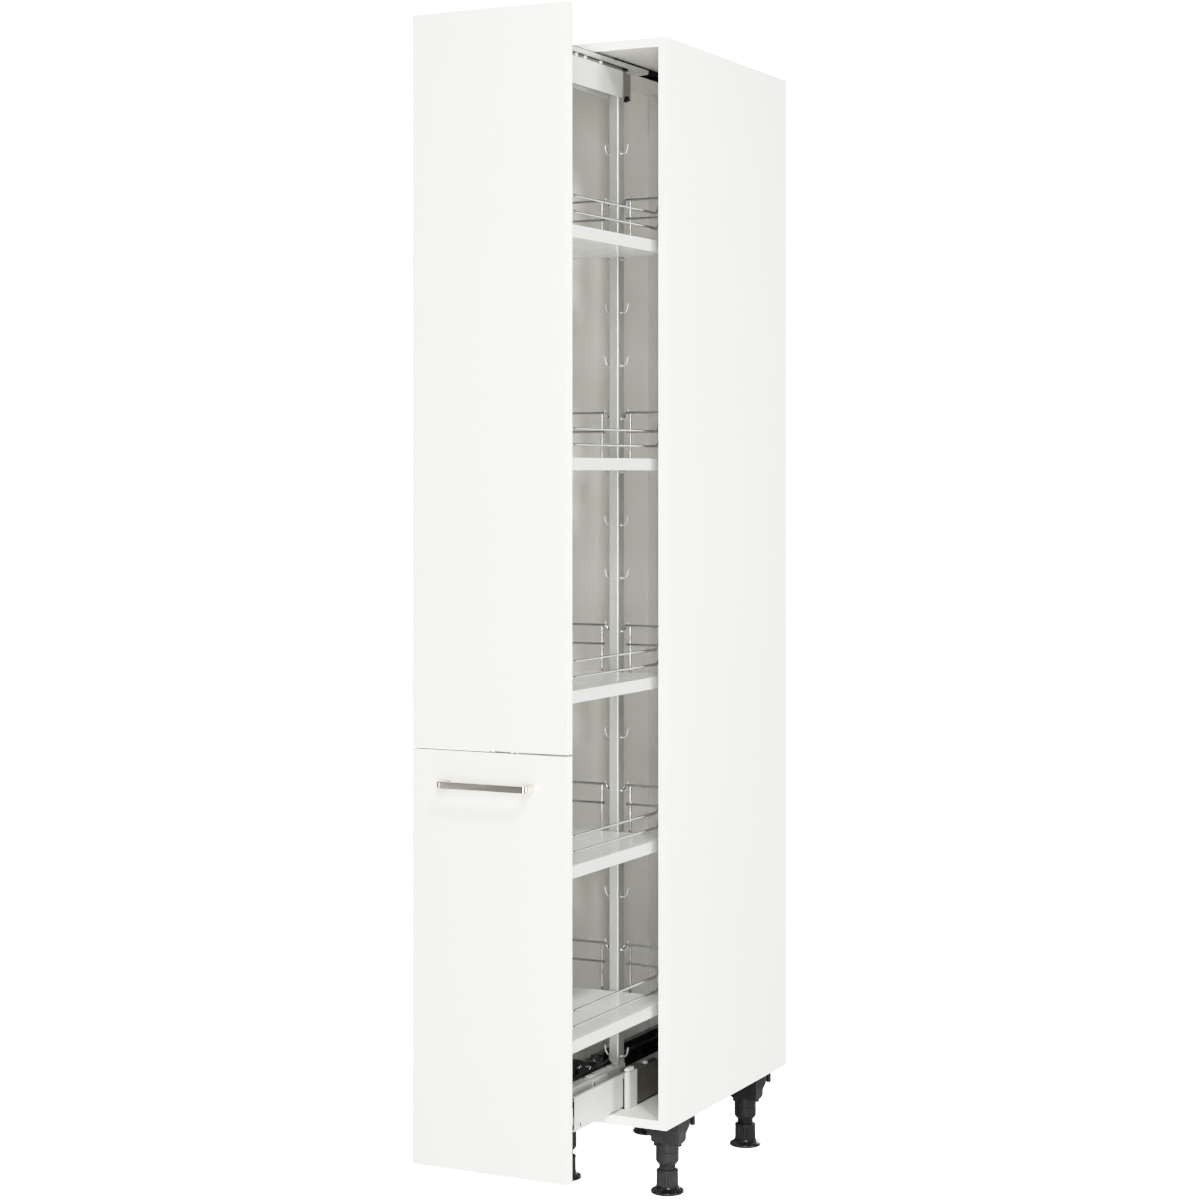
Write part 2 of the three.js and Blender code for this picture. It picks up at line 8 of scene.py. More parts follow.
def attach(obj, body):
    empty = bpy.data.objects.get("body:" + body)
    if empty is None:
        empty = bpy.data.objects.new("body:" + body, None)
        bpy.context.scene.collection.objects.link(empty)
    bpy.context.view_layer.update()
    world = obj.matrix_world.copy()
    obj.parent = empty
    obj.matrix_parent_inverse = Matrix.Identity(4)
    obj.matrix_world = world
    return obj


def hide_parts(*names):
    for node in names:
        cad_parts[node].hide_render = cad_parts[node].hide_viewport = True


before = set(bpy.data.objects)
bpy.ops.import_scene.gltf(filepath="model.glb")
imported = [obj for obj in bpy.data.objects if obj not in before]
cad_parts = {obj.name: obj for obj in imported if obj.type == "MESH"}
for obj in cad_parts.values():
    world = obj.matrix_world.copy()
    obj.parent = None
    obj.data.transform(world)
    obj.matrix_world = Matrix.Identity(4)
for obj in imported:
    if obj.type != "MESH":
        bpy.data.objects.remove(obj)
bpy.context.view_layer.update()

# Pull-out larder unit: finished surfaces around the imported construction.
# Shapes are written in millimetres in the carcase frame: X = 0 on the centre
# line, Y = 0 at the front edges of the carcase, Z = 0 at the carcase underside.
MM = 0.001
OFF_Y = -0.074           # carcase front edge in the row frame, metres
OFF_Z = 0.140            # carcase underside in the row frame, metres


def row(p):
    return (p[0] * MM, p[1] * MM + OFF_Y, p[2] * MM + OFF_Z)


# ------------------------------------------------------------------ mesh code
def from_bm(bm):
    bmesh.ops.recalc_face_normals(bm, faces=bm.faces[:])
    bm.verts.index_update()
    out = ([tuple(v.co) for v in bm.verts], [[v.index for v in f.verts] for f in bm.faces])
    bm.free()
    return out


def to_bm(shell):
    bm = bmesh.new()
    vs = [bm.verts.new(v) for v in shell[0]]
    for f in shell[1]:
        bm.faces.new([vs[i] for i in f])
    return bm


def bevel(bm, r, seg=2, angle=25.0, pick=None):
    edges = [e for e in bm.edges if e.is_manifold and e.calc_face_angle(0.0) > math.radians(angle)]
    if pick:
        edges = [e for e in edges if pick(e)]
    if r > 0 and edges:
        bmesh.ops.bevel(bm, geom=edges, offset=r, offset_type="OFFSET", segments=seg, profile=0.5,
                        affect="EDGES", clamp_overlap=True)


def box(x0, x1, y0, y1, z0, z1, r=0.4, seg=2):
    bm = bmesh.new()
    bmesh.ops.create_cube(bm, size=1.0)
    for v in bm.verts:
        v.co = Vector((x0 if v.co.x < 0 else x1, y0 if v.co.y < 0 else y1, z0 if v.co.z < 0 else z1))
    bevel(bm, r, seg)
    return from_bm(bm)


PLACE = {"x": lambda p, t: (t, p[0], p[1]), "y": lambda p, t: (p[0], t, p[1]), "z": lambda p, t: (p[0], p[1], t)}


def prism(outline, axis, a, b, r=0.0, seg=2, pick=None):
    """An outline pulled along an axis: (y, z) for x, (x, z) for y, (x, y) for z."""
    put = PLACE[axis]
    bm = bmesh.new()
    lo = [bm.verts.new(put(p, a)) for p in outline]
    hi = [bm.verts.new(put(p, b)) for p in outline]
    bm.faces.new(lo)
    bm.faces.new(list(reversed(hi)))
    n = len(outline)
    for i in range(n):
        bm.faces.new((lo[i], lo[(i + 1) % n], hi[(i + 1) % n], hi[i]))
    bmesh.ops.recalc_face_normals(bm, faces=bm.faces[:])
    bevel(bm, r, seg, pick=pick)
    return from_bm(bm)


def tube_section(outer, inner, axis, a, b):
    """A hollow bar: two outlines with as many points each."""
    put = PLACE[axis]
    bm = bmesh.new()
    rings = [[bm.verts.new(put(p, t)) for p in o] for o, t in ((outer, a), (outer, b), (inner, b), (inner, a))]
    n = len(outer)
    for k in range(4):
        p, q = rings[k], rings[(k + 1) % 4]
        for i in range(n):
            j = (i + 1) % n
            bm.faces.new((p[i], p[j], q[j], q[i]))
    return from_bm(bm)


def fillet(points, steps=5):
    """Corners (x, y, r) of a flat outline, rounded."""
    n, out = len(points), []
    for i, c in enumerate(points):
        p = Vector((c[0], c[1]))
        r = c[2] if len(c) > 2 else 0.0
        if r <= 0:
            out.append((p.x, p.y))
            continue
        a, b = Vector(points[i - 1][:2]), Vector(points[(i + 1) % n][:2])
        d1, d2 = (a - p).normalized(), (b - p).normalized()
        half = math.acos(max(-1.0, min(1.0, d1.dot(d2)))) / 2
        if half > math.radians(88):
            out.append((p.x, p.y))
            continue
        t = r / math.tan(half)
        centre = p + (d1 + d2).normalized() * (r / math.sin(half))
        s, e = p + d1 * t, p + d2 * t
        a0 = math.atan2(s.y - centre.y, s.x - centre.x)
        a1 = math.atan2(e.y - centre.y, e.x - centre.x)
        while a1 - a0 > math.pi:
            a1 -= 2 * math.pi
        while a1 - a0 < -math.pi:
            a1 += 2 * math.pi
        for k in range(steps + 1):
            f = a0 + (a1 - a0) * k / steps
            out.append((centre.x + r * math.cos(f), centre.y + r * math.sin(f)))
    return out


def route(corners, steps=6):
    """Corners (x, y, z, r) of a wire's centre line, rounded."""
    pts = [Vector(c[:3]) for c in corners]
    out = [pts[0]]
    for i in range(1, len(pts) - 1):
        r = corners[i][3] if len(corners[i]) > 3 else 0.0
        d1, d2 = (pts[i] - pts[i - 1]).normalized(), (pts[i + 1] - pts[i]).normalized()
        turn = math.acos(max(-1.0, min(1.0, d1.dot(d2))))
        if r <= 0 or turn < 1e-3:
            out.append(pts[i])
            continue
        t = r * math.tan(turn / 2)
        a = pts[i] - d1 * t
        side = (d2 - d1 * d1.dot(d2)).normalized()
        centre = a + side * r
        n = max(2, int(round(steps * turn / (math.pi / 2))))
        for k in range(n + 1):
            f = turn * k / n
            out.append(centre - side * (r * math.cos(f)) + d1 * (r * math.sin(f)))
    out.append(pts[-1])
    return out


def sweep(points, r, sides=12, closed=False, radii=None):
    """Round wire along a centre line, with slightly rounded ends."""
    P = [Vector(p) for p in points]
    n = len(P)
    tan = []
    for i in range(n):
        a = P[i - 1] if (i > 0 or closed) else P[i]
        b = P[(i + 1) % n] if (i < n - 1 or closed) else P[i]
        u = (P[i] - a).normalized() if (P[i] - a).length > 1e-9 else Vector((0, 0, 0))
        w = (b - P[i]).normalized() if (b - P[i]).length > 1e-9 else Vector((0, 0, 0))
        tan.append((u + w).normalized())
    ref = Vector((0, 0, 1)) if abs(tan[0].z) < 0.9 else Vector((1, 0, 0))
    nrm = (ref - tan[0] * ref.dot(tan[0])).normalized()
    rings = []
    bm = bmesh.new()

    def ring(centre, t, nn, rad):
        b = t.cross(nn)
        return [bm.verts.new(centre + nn * (rad * math.cos(2 * math.pi * k / sides)) + b * (rad * math.sin(2 * math.pi * k / sides)))
                for k in range(sides)]

    frames = []
    for i in range(n):
        if i:
            nrm = (nrm - tan[i] * nrm.dot(tan[i])).normalized()
        frames.append((P[i], tan[i], nrm.copy()))
    if not closed:
        c, t, nn = frames[0]
        rad = radii[0] if radii else r
        rings.append(ring(c, t, nn, rad * 0.62))
        rings.append(ring(c + t * (0.28 * rad), t, nn, rad))
    for i, (c, t, nn) in enumerate(frames):
        if not closed and i in (0, n - 1):
            continue
        rings.append(ring(c, t, nn, radii[i] if radii else r))
    if not closed:
        c, t, nn = frames[-1]
        rad = radii[-1] if radii else r
        rings.append(ring(c - t * (0.28 * rad), t, nn, rad))
        rings.append(ring(c, t, nn, rad * 0.62))
    m = len(rings)
    for k in range(m if closed else m - 1):
        p, q = rings[k], rings[(k + 1) % m]
        for i in range(sides):
            j = (i + 1) % sides
            bm.faces.new((p[i], p[j], q[j], q[i]))
    if not closed:
        bm.faces.new(list(reversed(rings[0])))
        bm.faces.new(rings[-1])
    return from_bm(bm)


def lathe(profile, centre=(0, 0, 0), axis="z", segs=32, shape=None, ring=False):
    """A turned shape: profile of (radius, height) along the axis; shape(angle, k) scales a ring's radius."""
    bm = bmesh.new()
    cx, cy, cz = centre

    def put(r, h, a):
        c, s = r * math.cos(a), r * math.sin(a)
        if axis == "z":
            return (cx + c, cy + s, cz + h)
        if axis == "y":
            return (cx + c, cy + h, cz + s)
        return (cx + h, cy + c, cz + s)

    rows = []
    for k, pt in enumerate(profile):
        r, h = pt[0], pt[1]
        if r < 1e-6:
            rows.append([bm.verts.new(put(0, h, 0))])
        else:
            rows.append([bm.verts.new(put(r + (shape(2 * math.pi * i / segs, k) if shape else 0.0), h, 2 * math.pi * i / segs))
                         for i in range(segs)])
    pairs = list(zip(rows, rows[1:]))
    if ring:
        pairs.append((rows[-1], rows[0]))
    for p, q in pairs:
        for i in range(segs):
            j = (i + 1) % segs
            if len(p) == 1 and len(q) == 1:
                continue
            if len(p) == 1:
                bm.faces.new((p[0], q[j], q[i]))
            elif len(q) == 1:
                bm.faces.new((p[i], p[j], q[0]))
            else:
                bm.faces.new((p[i], p[j], q[j], q[i]))
    return from_bm(bm)


def _temp(shell, name):
    me = bpy.data.meshes.new(name)
    me.from_pydata(shell[0], [], shell[1])
    ob = bpy.data.objects.new(name, me)
    bpy.context.scene.collection.objects.link(ob)
    return ob


def merge(shells):
    v, f = [], []
    for s in shells:
        o = len(v)
        v += list(s[0])
        f += [[i + o for i in q] for q in s[1]]
    return (v, f)


def boolean(base, tools, op="DIFFERENCE"):
    """Cuts, joins or keeps the common part, in mesh code, one tool at a time."""
    for t in tools:
        a, b = _temp(base, "work_a"), _temp(t, "work_b")
        m = a.modifiers.new("b", "BOOLEAN")
        m.operation, m.object, m.solver = op, b, "EXACT"
        dg = bpy.context.evaluated_depsgraph_get()
        dg.update()
        me = bpy.data.meshes.new_from_object(a.evaluated_get(dg))
        base = ([tuple(v.co) for v in me.vertices], [list(p.vertices) for p in me.polygons])
        old = (a.data, b.data, me)
        bpy.data.objects.remove(a)
        bpy.data.objects.remove(b)
        for d in old:
            bpy.data.meshes.remove(d)
    return base


def move(shell, dx=0.0, dy=0.0, dz=0.0):
    return ([(v[0] + dx, v[1] + dy, v[2] + dz) for v in shell[0]], shell[1])


def mirror(shell):
    return ([(-v[0], v[1], v[2]) for v in shell[0]], [list(reversed(f)) for f in shell[1]])


def turn(shell, centre, axis, degrees):
    m = Matrix.Rotation(math.radians(degrees), 3, axis)
    c = Vector(centre)
    return ([tuple(m @ (Vector(v) - c) + c) for v in shell[0]], shell[1])


def piece(name, shells, body, mat, nodes=(), angle=32.0):
    v, f = merge(shells)
    me = bpy.data.meshes.new(name)
    me.from_pydata([row(p) for p in v], [], f)
    me.validate()
    me.update()
    me.shade_smooth()
    me.set_sharp_from_angle(angle=math.radians(angle))
    me.materials.append(mat)
    ob = bpy.data.objects.new(name, me)
    bpy.context.scene.collection.objects.link(ob)
    w = ob.modifiers.new("weighted normals", "WEIGHTED_NORMAL")
    w.keep_sharp = True
    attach(ob, body)
    if nodes:
        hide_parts(*nodes)
    return ob


# ------------------------------------------------------------------ materials
def scaled(c, k):
    return tuple(min(1.0, x * k) for x in c[:3]) + (1.0,)


def material(name, colour, rough, metal=0.0, vary=0.015, scale=5.0, stretch=(1, 1, 1), rough_vary=0.04, rough_scale=30.0,
             bumps=(), coat=0.0, coat_rough=0.05, spec=0.5, warm=0.0, speck=None, aniso=0.0):
    """Principled surface: cloudy colour variation, uneven roughness and fine relief, all procedural."""
    m = bpy.data.materials.new(name)
    m.use_nodes = True
    nt = m.node_tree
    nt.nodes.clear()
    new, link = nt.nodes.new, nt.links.new
    out = new("ShaderNodeOutputMaterial")
    sh = new("ShaderNodeBsdfPrincipled")
    link(sh.outputs["BSDF"], out.inputs["Surface"])
    co = new("ShaderNodeTexCoord")
    mp = new("ShaderNodeMapping")
    mp.inputs["Scale"].default_value = stretch
    link(co.outputs["Object"], mp.inputs["Vector"])

    n1 = new("ShaderNodeTexNoise")
    n1.inputs["Scale"].default_value = scale
    n1.inputs["Detail"].default_value = 4.0
    n1.inputs["Roughness"].default_value = 0.55
    link(mp.outputs["Vector"], n1.inputs["Vector"])
    ramp = new("ShaderNodeValToRGB")
    ramp.color_ramp.interpolation = "EASE"
    ramp.color_ramp.elements[0].position = 0.30
    ramp.color_ramp.elements[1].position = 0.70
    lo, hi = scaled(colour, 1.0 - vary), scaled(colour, 1.0 + vary)
    ramp.color_ramp.elements[0].color = (lo[0], lo[1], lo[2] * (1.0 - warm), 1.0)
    ramp.color_ramp.elements[1].color = hi
    link(n1.outputs["Fac"], ramp.inputs["Fac"])
    colour_out = ramp.outputs["Color"]
    if speck:
        tone, size, low, high = speck
        n3 = new("ShaderNodeTexNoise")
        n3.inputs["Scale"].default_value = size
        n3.inputs["Detail"].default_value = 2.0
        link(co.outputs["Object"], n3.inputs["Vector"])
        mask = new("ShaderNodeMapRange")
        mask.inputs["From Min"].default_value = low
        mask.inputs["From Max"].default_value = high
        link(n3.outputs["Fac"], mask.inputs["Value"])
        mix = new("ShaderNodeMix")
        mix.data_type = "RGBA"
        link(mask.outputs["Result"], mix.inputs["Factor"])
        link(colour_out, mix.inputs["A"])
        mix.inputs["B"].default_value = tone + (1.0,)
        colour_out = mix.outputs["Result"]
    link(colour_out, sh.inputs["Base Color"])

    n2 = new("ShaderNodeTexNoise")
    n2.inputs["Scale"].default_value = rough_scale
    n2.inputs["Detail"].default_value = 3.0
    link(mp.outputs["Vector"], n2.inputs["Vector"])
    rr = new("ShaderNodeMapRange")
    rr.inputs["From Min"].default_value = 0.25
    rr.inputs["From Max"].default_value = 0.75
    rr.inputs["To Min"].default_value = max(0.02, rough - rough_vary)
    rr.inputs["To Max"].default_value = min(1.0, rough + rough_vary)
    link(n2.outputs["Fac"], rr.inputs["Value"])
    link(rr.outputs["Result"], sh.inputs["Roughness"])

    last = None
    for size, way, dist, strength, detail in bumps:
        m2 = new("ShaderNodeMapping")
        m2.inputs["Scale"].default_value = way
        link(co.outputs["Object"], m2.inputs["Vector"])
        nb = new("ShaderNodeTexNoise")
        nb.inputs["Scale"].default_value = size
        nb.inputs["Detail"].default_value = detail
        link(m2.outputs["Vector"], nb.inputs["Vector"])
        b = new("ShaderNodeBump")
        b.inputs["Strength"].default_value = strength
        b.inputs["Distance"].default_value = dist
        link(nb.outputs["Fac"], b.inputs["Height"])
        if last is not None:
            link(last.outputs["Normal"], b.inputs["Normal"])
        last = b
    if last is not None:
        link(last.outputs["Normal"], sh.inputs["Normal"])
    sh.inputs["Metallic"].default_value = metal
    sh.inputs["Specular IOR Level"].default_value = spec
    if coat > 0:
        sh.inputs["Coat Weight"].default_value = coat
        sh.inputs["Coat Roughness"].default_value = coat_rough
    if aniso > 0:
        sh.inputs["Anisotropic"].default_value = aniso
    return m


ONE = (1, 1, 1)
M_FRONT = material("front_gloss_white", (0.885, 0.875, 0.815), 0.16, vary=0.006, scale=2.2, rough_vary=0.03, rough_scale=12,
                   bumps=[(38, ONE, 0.0006, 0.035, 2), (900, ONE, 0.00002, 0.12, 2)], coat=0.35, coat_rough=0.04, warm=0.004)
M_PANEL = material("panel_white_melamine", (0.905, 0.898, 0.845), 0.42, vary=0.008, scale=3.0, rough_vary=0.05, rough_scale=60,
                   bumps=[(1400, ONE, 0.00004, 0.22, 3), (160, ONE, 0.00005, 0.10, 2)], warm=0.004)
# A darker copy of the white panel melamine: its grey is painted shade for the back panel deep inside the cabinet.
M_PANEL_PAINTED_SHADE = material("back_panel_melamine_painted_shade", (0.52, 0.515, 0.49), 0.40, vary=0.010, scale=4.0, rough_vary=0.05, rough_scale=60,
                   bumps=[(1400, ONE, 0.00004, 0.22, 3), (160, ONE, 0.00005, 0.10, 2)], warm=0.006)
M_BOARD = material("shelf_white_melamine", (0.86, 0.86, 0.845), 0.20, vary=0.010, scale=5.0, rough_vary=0.05, rough_scale=40,
                   bumps=[(1200, ONE, 0.00003, 0.15, 3)], coat=0.25, coat_rough=0.08)
M_BAND = material("shelf_edge_band", (0.60, 0.60, 0.59), 0.34, vary=0.006, scale=8.0, rough_vary=0.04,
                  bumps=[(700, (1, 0.15, 1), 0.00003, 0.2, 3)])
M_GREY = material("rail_light_grey", (0.60, 0.61, 0.585), 0.38, vary=0.02, scale=9.0, rough_vary=0.06, rough_scale=90,
                  bumps=[(1100, ONE, 0.00006, 0.35, 3)])
M_BLACKRAIL = material("rail_black_steel", (0.003, 0.003, 0.003), 0.50, metal=0.0, vary=0.25, scale=14, rough_vary=0.06, spec=0.10,
                       bumps=[(500, (1, 0.05, 1), 0.00003, 0.2, 3)])
M_DARKRAIL = material("rail_dark_steel", (0.16, 0.155, 0.14), 0.34, metal=0.85, vary=0.12, scale=20, stretch=(1, 0.15, 1), rough_vary=0.08,
                      bumps=[(420, (1, 0.04, 1), 0.00006, 0.35, 3)])
M_ZINC = material("zinc_steel", (0.56, 0.56, 0.54), 0.42, metal=0.70, vary=0.03, scale=26, rough_vary=0.05, rough_scale=90,
                  bumps=[(900, (1, 1, 0.08), 0.00001, 0.15, 2)], warm=0.01)
M_ZINC_Y = material("zinc_steel_drawn", (0.72, 0.72, 0.70), 0.36, metal=0.65, vary=0.03, scale=26, stretch=(1, 0.2, 1), rough_vary=0.06, rough_scale=90,
                    bumps=[(700, (1, 0.05, 1), 0.00002, 0.2, 3)], warm=0.008)
M_SPINE = material("carriage_zinc", (0.62, 0.61, 0.595), 0.44, metal=0.20, vary=0.03, scale=20, stretch=(1, 0.2, 1), rough_vary=0.06, rough_scale=90,
                   bumps=[(700, (1, 0.05, 1), 0.00002, 0.2, 3)], warm=0.015)
# Dark zinc for the inner rail; on the beam's rear end the same dark colour is painted shade.
M_DARK_ZINC_AND_SHADE = material("dark_zinc_and_painted_shade", (0.30, 0.30, 0.285), 0.40, metal=0.55, vary=0.05, scale=26, stretch=(1, 0.2, 1), rough_vary=0.06, rough_scale=90,
                  bumps=[(700, (1, 0.05, 1), 0.00002, 0.2, 3)])
M_PLATE = material("bracket_bright_zinc", (0.84, 0.84, 0.83), 0.34, metal=0.15, vary=0.02, scale=120, rough_vary=0.05, bumps=[(900, ONE, 0.00002, 0.15, 2)])
M_CHROME = material("chrome_wire", (0.50, 0.50, 0.495), 0.09, metal=1.0, vary=0.02, scale=60, rough_vary=0.02, rough_scale=140,
                    bumps=[(350, ONE, 0.00001, 0.03, 2)])
M_HANDLE = material("handle_brushed_steel", (0.57, 0.545, 0.485), 0.19, metal=1.0, vary=0.05, scale=160, stretch=(0.06, 1, 1), rough_vary=0.04,
                    rough_scale=220, bumps=[(900, (0.03, 1, 1), 0.00002, 0.2, 3)], warm=0.01, aniso=0.2)
M_CAP = material("cap_light_grey_plastic", (0.54, 0.545, 0.53), 0.44, vary=0.012, scale=40, rough_vary=0.05,
                 bumps=[(600, ONE, 0.00004, 0.2, 3)])
M_BUTTON = material("button_white_plastic", (0.88, 0.88, 0.86), 0.26, vary=0.01, scale=60, rough_vary=0.04, bumps=[(600, ONE, 0.00004, 0.1, 2)])
# Black for real black plastic parts, and also for painted shade: rail contact shadows, the runner's dark lining, hole
# backings and the shadow line under the top rail.
M_BLACK_AND_SHADE = material("black_plastic", (0.004, 0.004, 0.004), 0.34, vary=0.25, scale=60, rough_vary=0.06, spec=0.25,
                   bumps=[(900, ONE, 0.00004, 0.25, 3)])
M_FOOTG = material("foot_dark_grey_plastic", (0.018, 0.018, 0.019), 0.50, vary=0.18, scale=90, rough_vary=0.06, rough_scale=60, spec=0.4,
                   bumps=[(420, ONE, 0.00012, 0.4, 3)], speck=((0.040, 0.040, 0.041), 300, 0.56, 0.72))
M_FOOTB = material("foot_black_plastic", (0.005, 0.005, 0.005), 0.44, vary=0.2, scale=90, rough_vary=0.06, rough_scale=60, spec=0.28,
                   bumps=[(700, ONE, 0.00006, 0.3, 3)])
M_FOOTN = material("foot_base_black_plastic", (0.005, 0.005, 0.005), 0.28, vary=0.2, scale=90, rough_vary=0.05, rough_scale=60, spec=0.45,
                   bumps=[(700, ONE, 0.00004, 0.2, 3)])
M_SCREW = material("screw_bright_zinc", (0.72, 0.72, 0.70), 0.22, metal=1.0, vary=0.06, scale=300, rough_vary=0.06, bumps=[(900, ONE, 0.00004, 0.2, 2)])
M_WHITE = material("roller_white_plastic", (0.86, 0.86, 0.84), 0.35, vary=0.02, scale=200, rough_vary=0.05, bumps=[(800, ONE, 0.00005, 0.15, 2)])

# ------------------------------------------------------------------ carcase
W, H, D, T = 150.0, 1950.0, 560.0, 16.0
for tag, sx in (("left", -1), ("right", 1)):
    shell = merge([box(W - T, W, 1.05, D, 0, H, r=0.35), box(W - T, W, 0.0, 1.0, 0, H, r=0.3)])
    if sx < 0:
        shell = mirror(shell)
    piece("side_panel_%s_finished" % tag, [shell], "carcase", M_PANEL, ["side_panel_" + tag])
IN = W - T - 0.3
piece("top_panel_finished", [box(-IN, IN, 1.05, D, H - T, H, r=0.3), box(-IN, IN, 0, 1.0, H - T, H, r=0.3)], "carcase", M_PANEL, ["top_panel"])
piece("bottom_panel_finished", [box(-IN, IN, 1.05, D, 0, T, r=0.3), box(-IN, IN, 0, 1.0, 0, T, r=0.3)], "carcase", M_PANEL, ["bottom_panel"])
# The back panel takes the darker melamine copy, so its grey is painted shade.
piece("back_panel_finished", [box(-132.8, 132.8, 521, 529, T + 0.3, H - T - 0.3, r=0.3)], "carcase", M_PANEL_PAINTED_SHADE, ["back_panel"])
piece("rear_stretcher_top_finished", [box(-IN, IN, D - T, D, H - T - 90.3, H - T - 0.3, r=0.3)], "carcase", M_PANEL, ["rear_stretcher_top"])
piece("rear_stretcher_bottom_finished", [box(-IN, IN, D - T, D, T + 0.3, T + 90.3, r=0.3)], "carcase", M_PANEL, ["rear_stretcher_bottom"])

# ------------------------------------------------------------------ feet
FLUTES = 20


def foot_shells():
    base = [(0, -140), (28.4, -140), (29.8, -139.5), (30.3, -138.4), (30.4, -136.8), (30.0, -135.4), (28.6, -134.1), (25.6, -132.6),
            (22.9, -130.8), (21.3, -128.8), (20.2, -126.9)]
    sleeve = [(20.0, -126.0), (20.0, -124.6), (19.9, -116), (19.8, -107), (19.7, -101.4), (20.2, -101.0), (20.2, -99.4), (19.6, -98.4), (18.4, -97.7), (16.6, -97.5), (16.4, -98.6), (0, -98.6)]
    prof = [(0, -127.5), (19.0, -127.5), (19.4, -127.2)] + sleeve
    nb = 3

    def flute(a, k):
        if nb + 1 <= k <= nb + 4:
            c = 0.5 + 0.5 * math.cos(FLUTES * a)
            return -1.5 * (1 - c) ** 1.6
        return 0.0

    body = lathe(prof, segs=FLUTES * 6, shape=flute)
    foot_disc = lathe(base + [(0, -126.9)], segs=72)
    neck = [(0, -101)] + [(14.2, -101)]
    z = -97.4
    while z < -60.7:
        neck += [(15.0, z), (15.0, z + 1.1), (13.5, z + 1.7), (13.5, z + 2.6)]
        z += 3.2
    neck += [(14.4, z), (13.2, z + 1.2), (0, z + 1.2)]
    return [body, lathe(neck, segs=48)], [foot_disc]


def socket_shells():
    front = fillet([(-12, -45, 1.5), (36, -45, 2.0), (36, -2.2), (-50, -2.2), (-31, -23, 3), (-19, -33.5, 2), (-19, -41, 1.5), (-14, -43, 1)], 4)
    side = fillet([(-30, -45, 2.0), (-14, -45, 3), (3, -40.5, 5), (4, -29, 3), (18, -20, 6), (23, -9, 3), (23, -2.2), (-30, -2.2)], 4)
    block = boolean(prism(front, "y", -30, 23), [prism(side, "x", -50, 36)], "INTERSECT")
    plate = prism(fillet([(-27, -95, 5), (41, -95, 5), (41, 48, 5), (-27, 48, 5)], 4), "z", -2.3, -0.35, r=0.4)
    ribs = []
    for y in (-19, -6, 7):
        ribs.append(box(35.2, 36.9, y, y + 2.2, -26 + abs(y + 6) * 0.2, -2.4, r=0.4))
    for x in (-38, -27):
        ribs.append(box(x, x + 2.0, -30.8, -28.5, -12 - (x + 38) * 0.55, -2.4, r=0.3))
    tube = lathe([(15.2, -86.4), (17.2, -86.5), (17.6, -86.2), (20.8, -81.6), (21.0, -81.0), (21.0, -64.6), (20.3, -64.2), (20.3, -63.2), (21.0, -62.8),
                  (21.0, -40.0), (15.2, -40.0)], segs=64, ring=True)
    peg = lathe([(0, -21), (3.9, -21), (4.75, -20.2), (4.75, -2.2), (0, -2.2)], centre=(35, 34, 0), segs=24)
    clips = [box(-14, -4, -29.2, -23, -50, -43, r=0.8), box(29, 35, -20, -12, -49, -43, r=0.8)]
    collar = lathe([(21.0, -46.5), (22.6, -46.0), (22.6, -44.0), (21.0, -43.5)], segs=64, ring=True)
    screws = []
    for x, y in ((-18, -80), (30, -80), (-18, 38), (12, 38)):
        screws.append(lathe([(0, -4.6), (3.1, -4.5), (4.0, -3.7), (4.1, -2.2), (0, -2.2)], centre=(x, y, 0), segs=20))
    return block, plate, ribs, tube, peg, clips, collar, screws


FOOT, FOOT_BASE = foot_shells()
BLOCK, PLATE, RIBS, TUBE, PEG, CLIPS, COLLAR, SSCREWS = socket_shells()
for tag, sx, fy, mat, slot in (("front_left", -1, 100, M_FOOTG, "foot_grey_plastic"), ("front_right", 1, 100, M_FOOTG, "foot_grey_plastic"),
                               ("rear_left", -1, 460, M_FOOTB, "foot_black_plastic"), ("rear_right", 1, 460, M_FOOTB, "foot_black_plastic")):
    def at(s):
        s = move(s, 105, fy, 0)
        return mirror(s) if sx < 0 else s
    piece("foot_%s_finished" % tag, [at(s) for s in FOOT], "levelling_foot_" + tag, mat, ["foot_" + tag], angle=24)
    piece("foot_base_%s" % tag, [at(s) for s in FOOT_BASE], "levelling_foot_" + tag, M_FOOTN, angle=24)
    piece("foot_socket_%s_finished" % tag, [at(s) for s in [BLOCK, PLATE, TUBE, COLLAR] + RIBS], "carcase", mat, ["foot_socket_" + tag], angle=20)
    piece("foot_clips_%s" % tag, [at(s) for s in CLIPS + [PEG]], "carcase", M_FOOTB)
    piece("foot_screws_%s" % tag, [at(s) for s in SSCREWS], "carcase", M_SCREW)

# ------------------------------------------------------------------ fixed runner
rail = fillet([(24, 82, 1.2), (50, 82, 2.0), (50, 16.3, 1.0), (41.5, 16.3), (41.5, 17.8), (48.5, 17.8, 0.6), (48.5, 80.5, 0.9), (24, 80.5)], 3)
rail_shell = prism(rail, "y", 66, 516, r=0.15, seg=1)
slots = [prism(fillet([(32, y - 9, 2.6), (37.5, y - 9, 2.6), (37.5, y + 9, 2.6), (32, y + 9, 2.6)], 5), "z", 78, 85) for y in (300, 470)]
rail_shell = boolean(rail_shell, [merge(slots)])
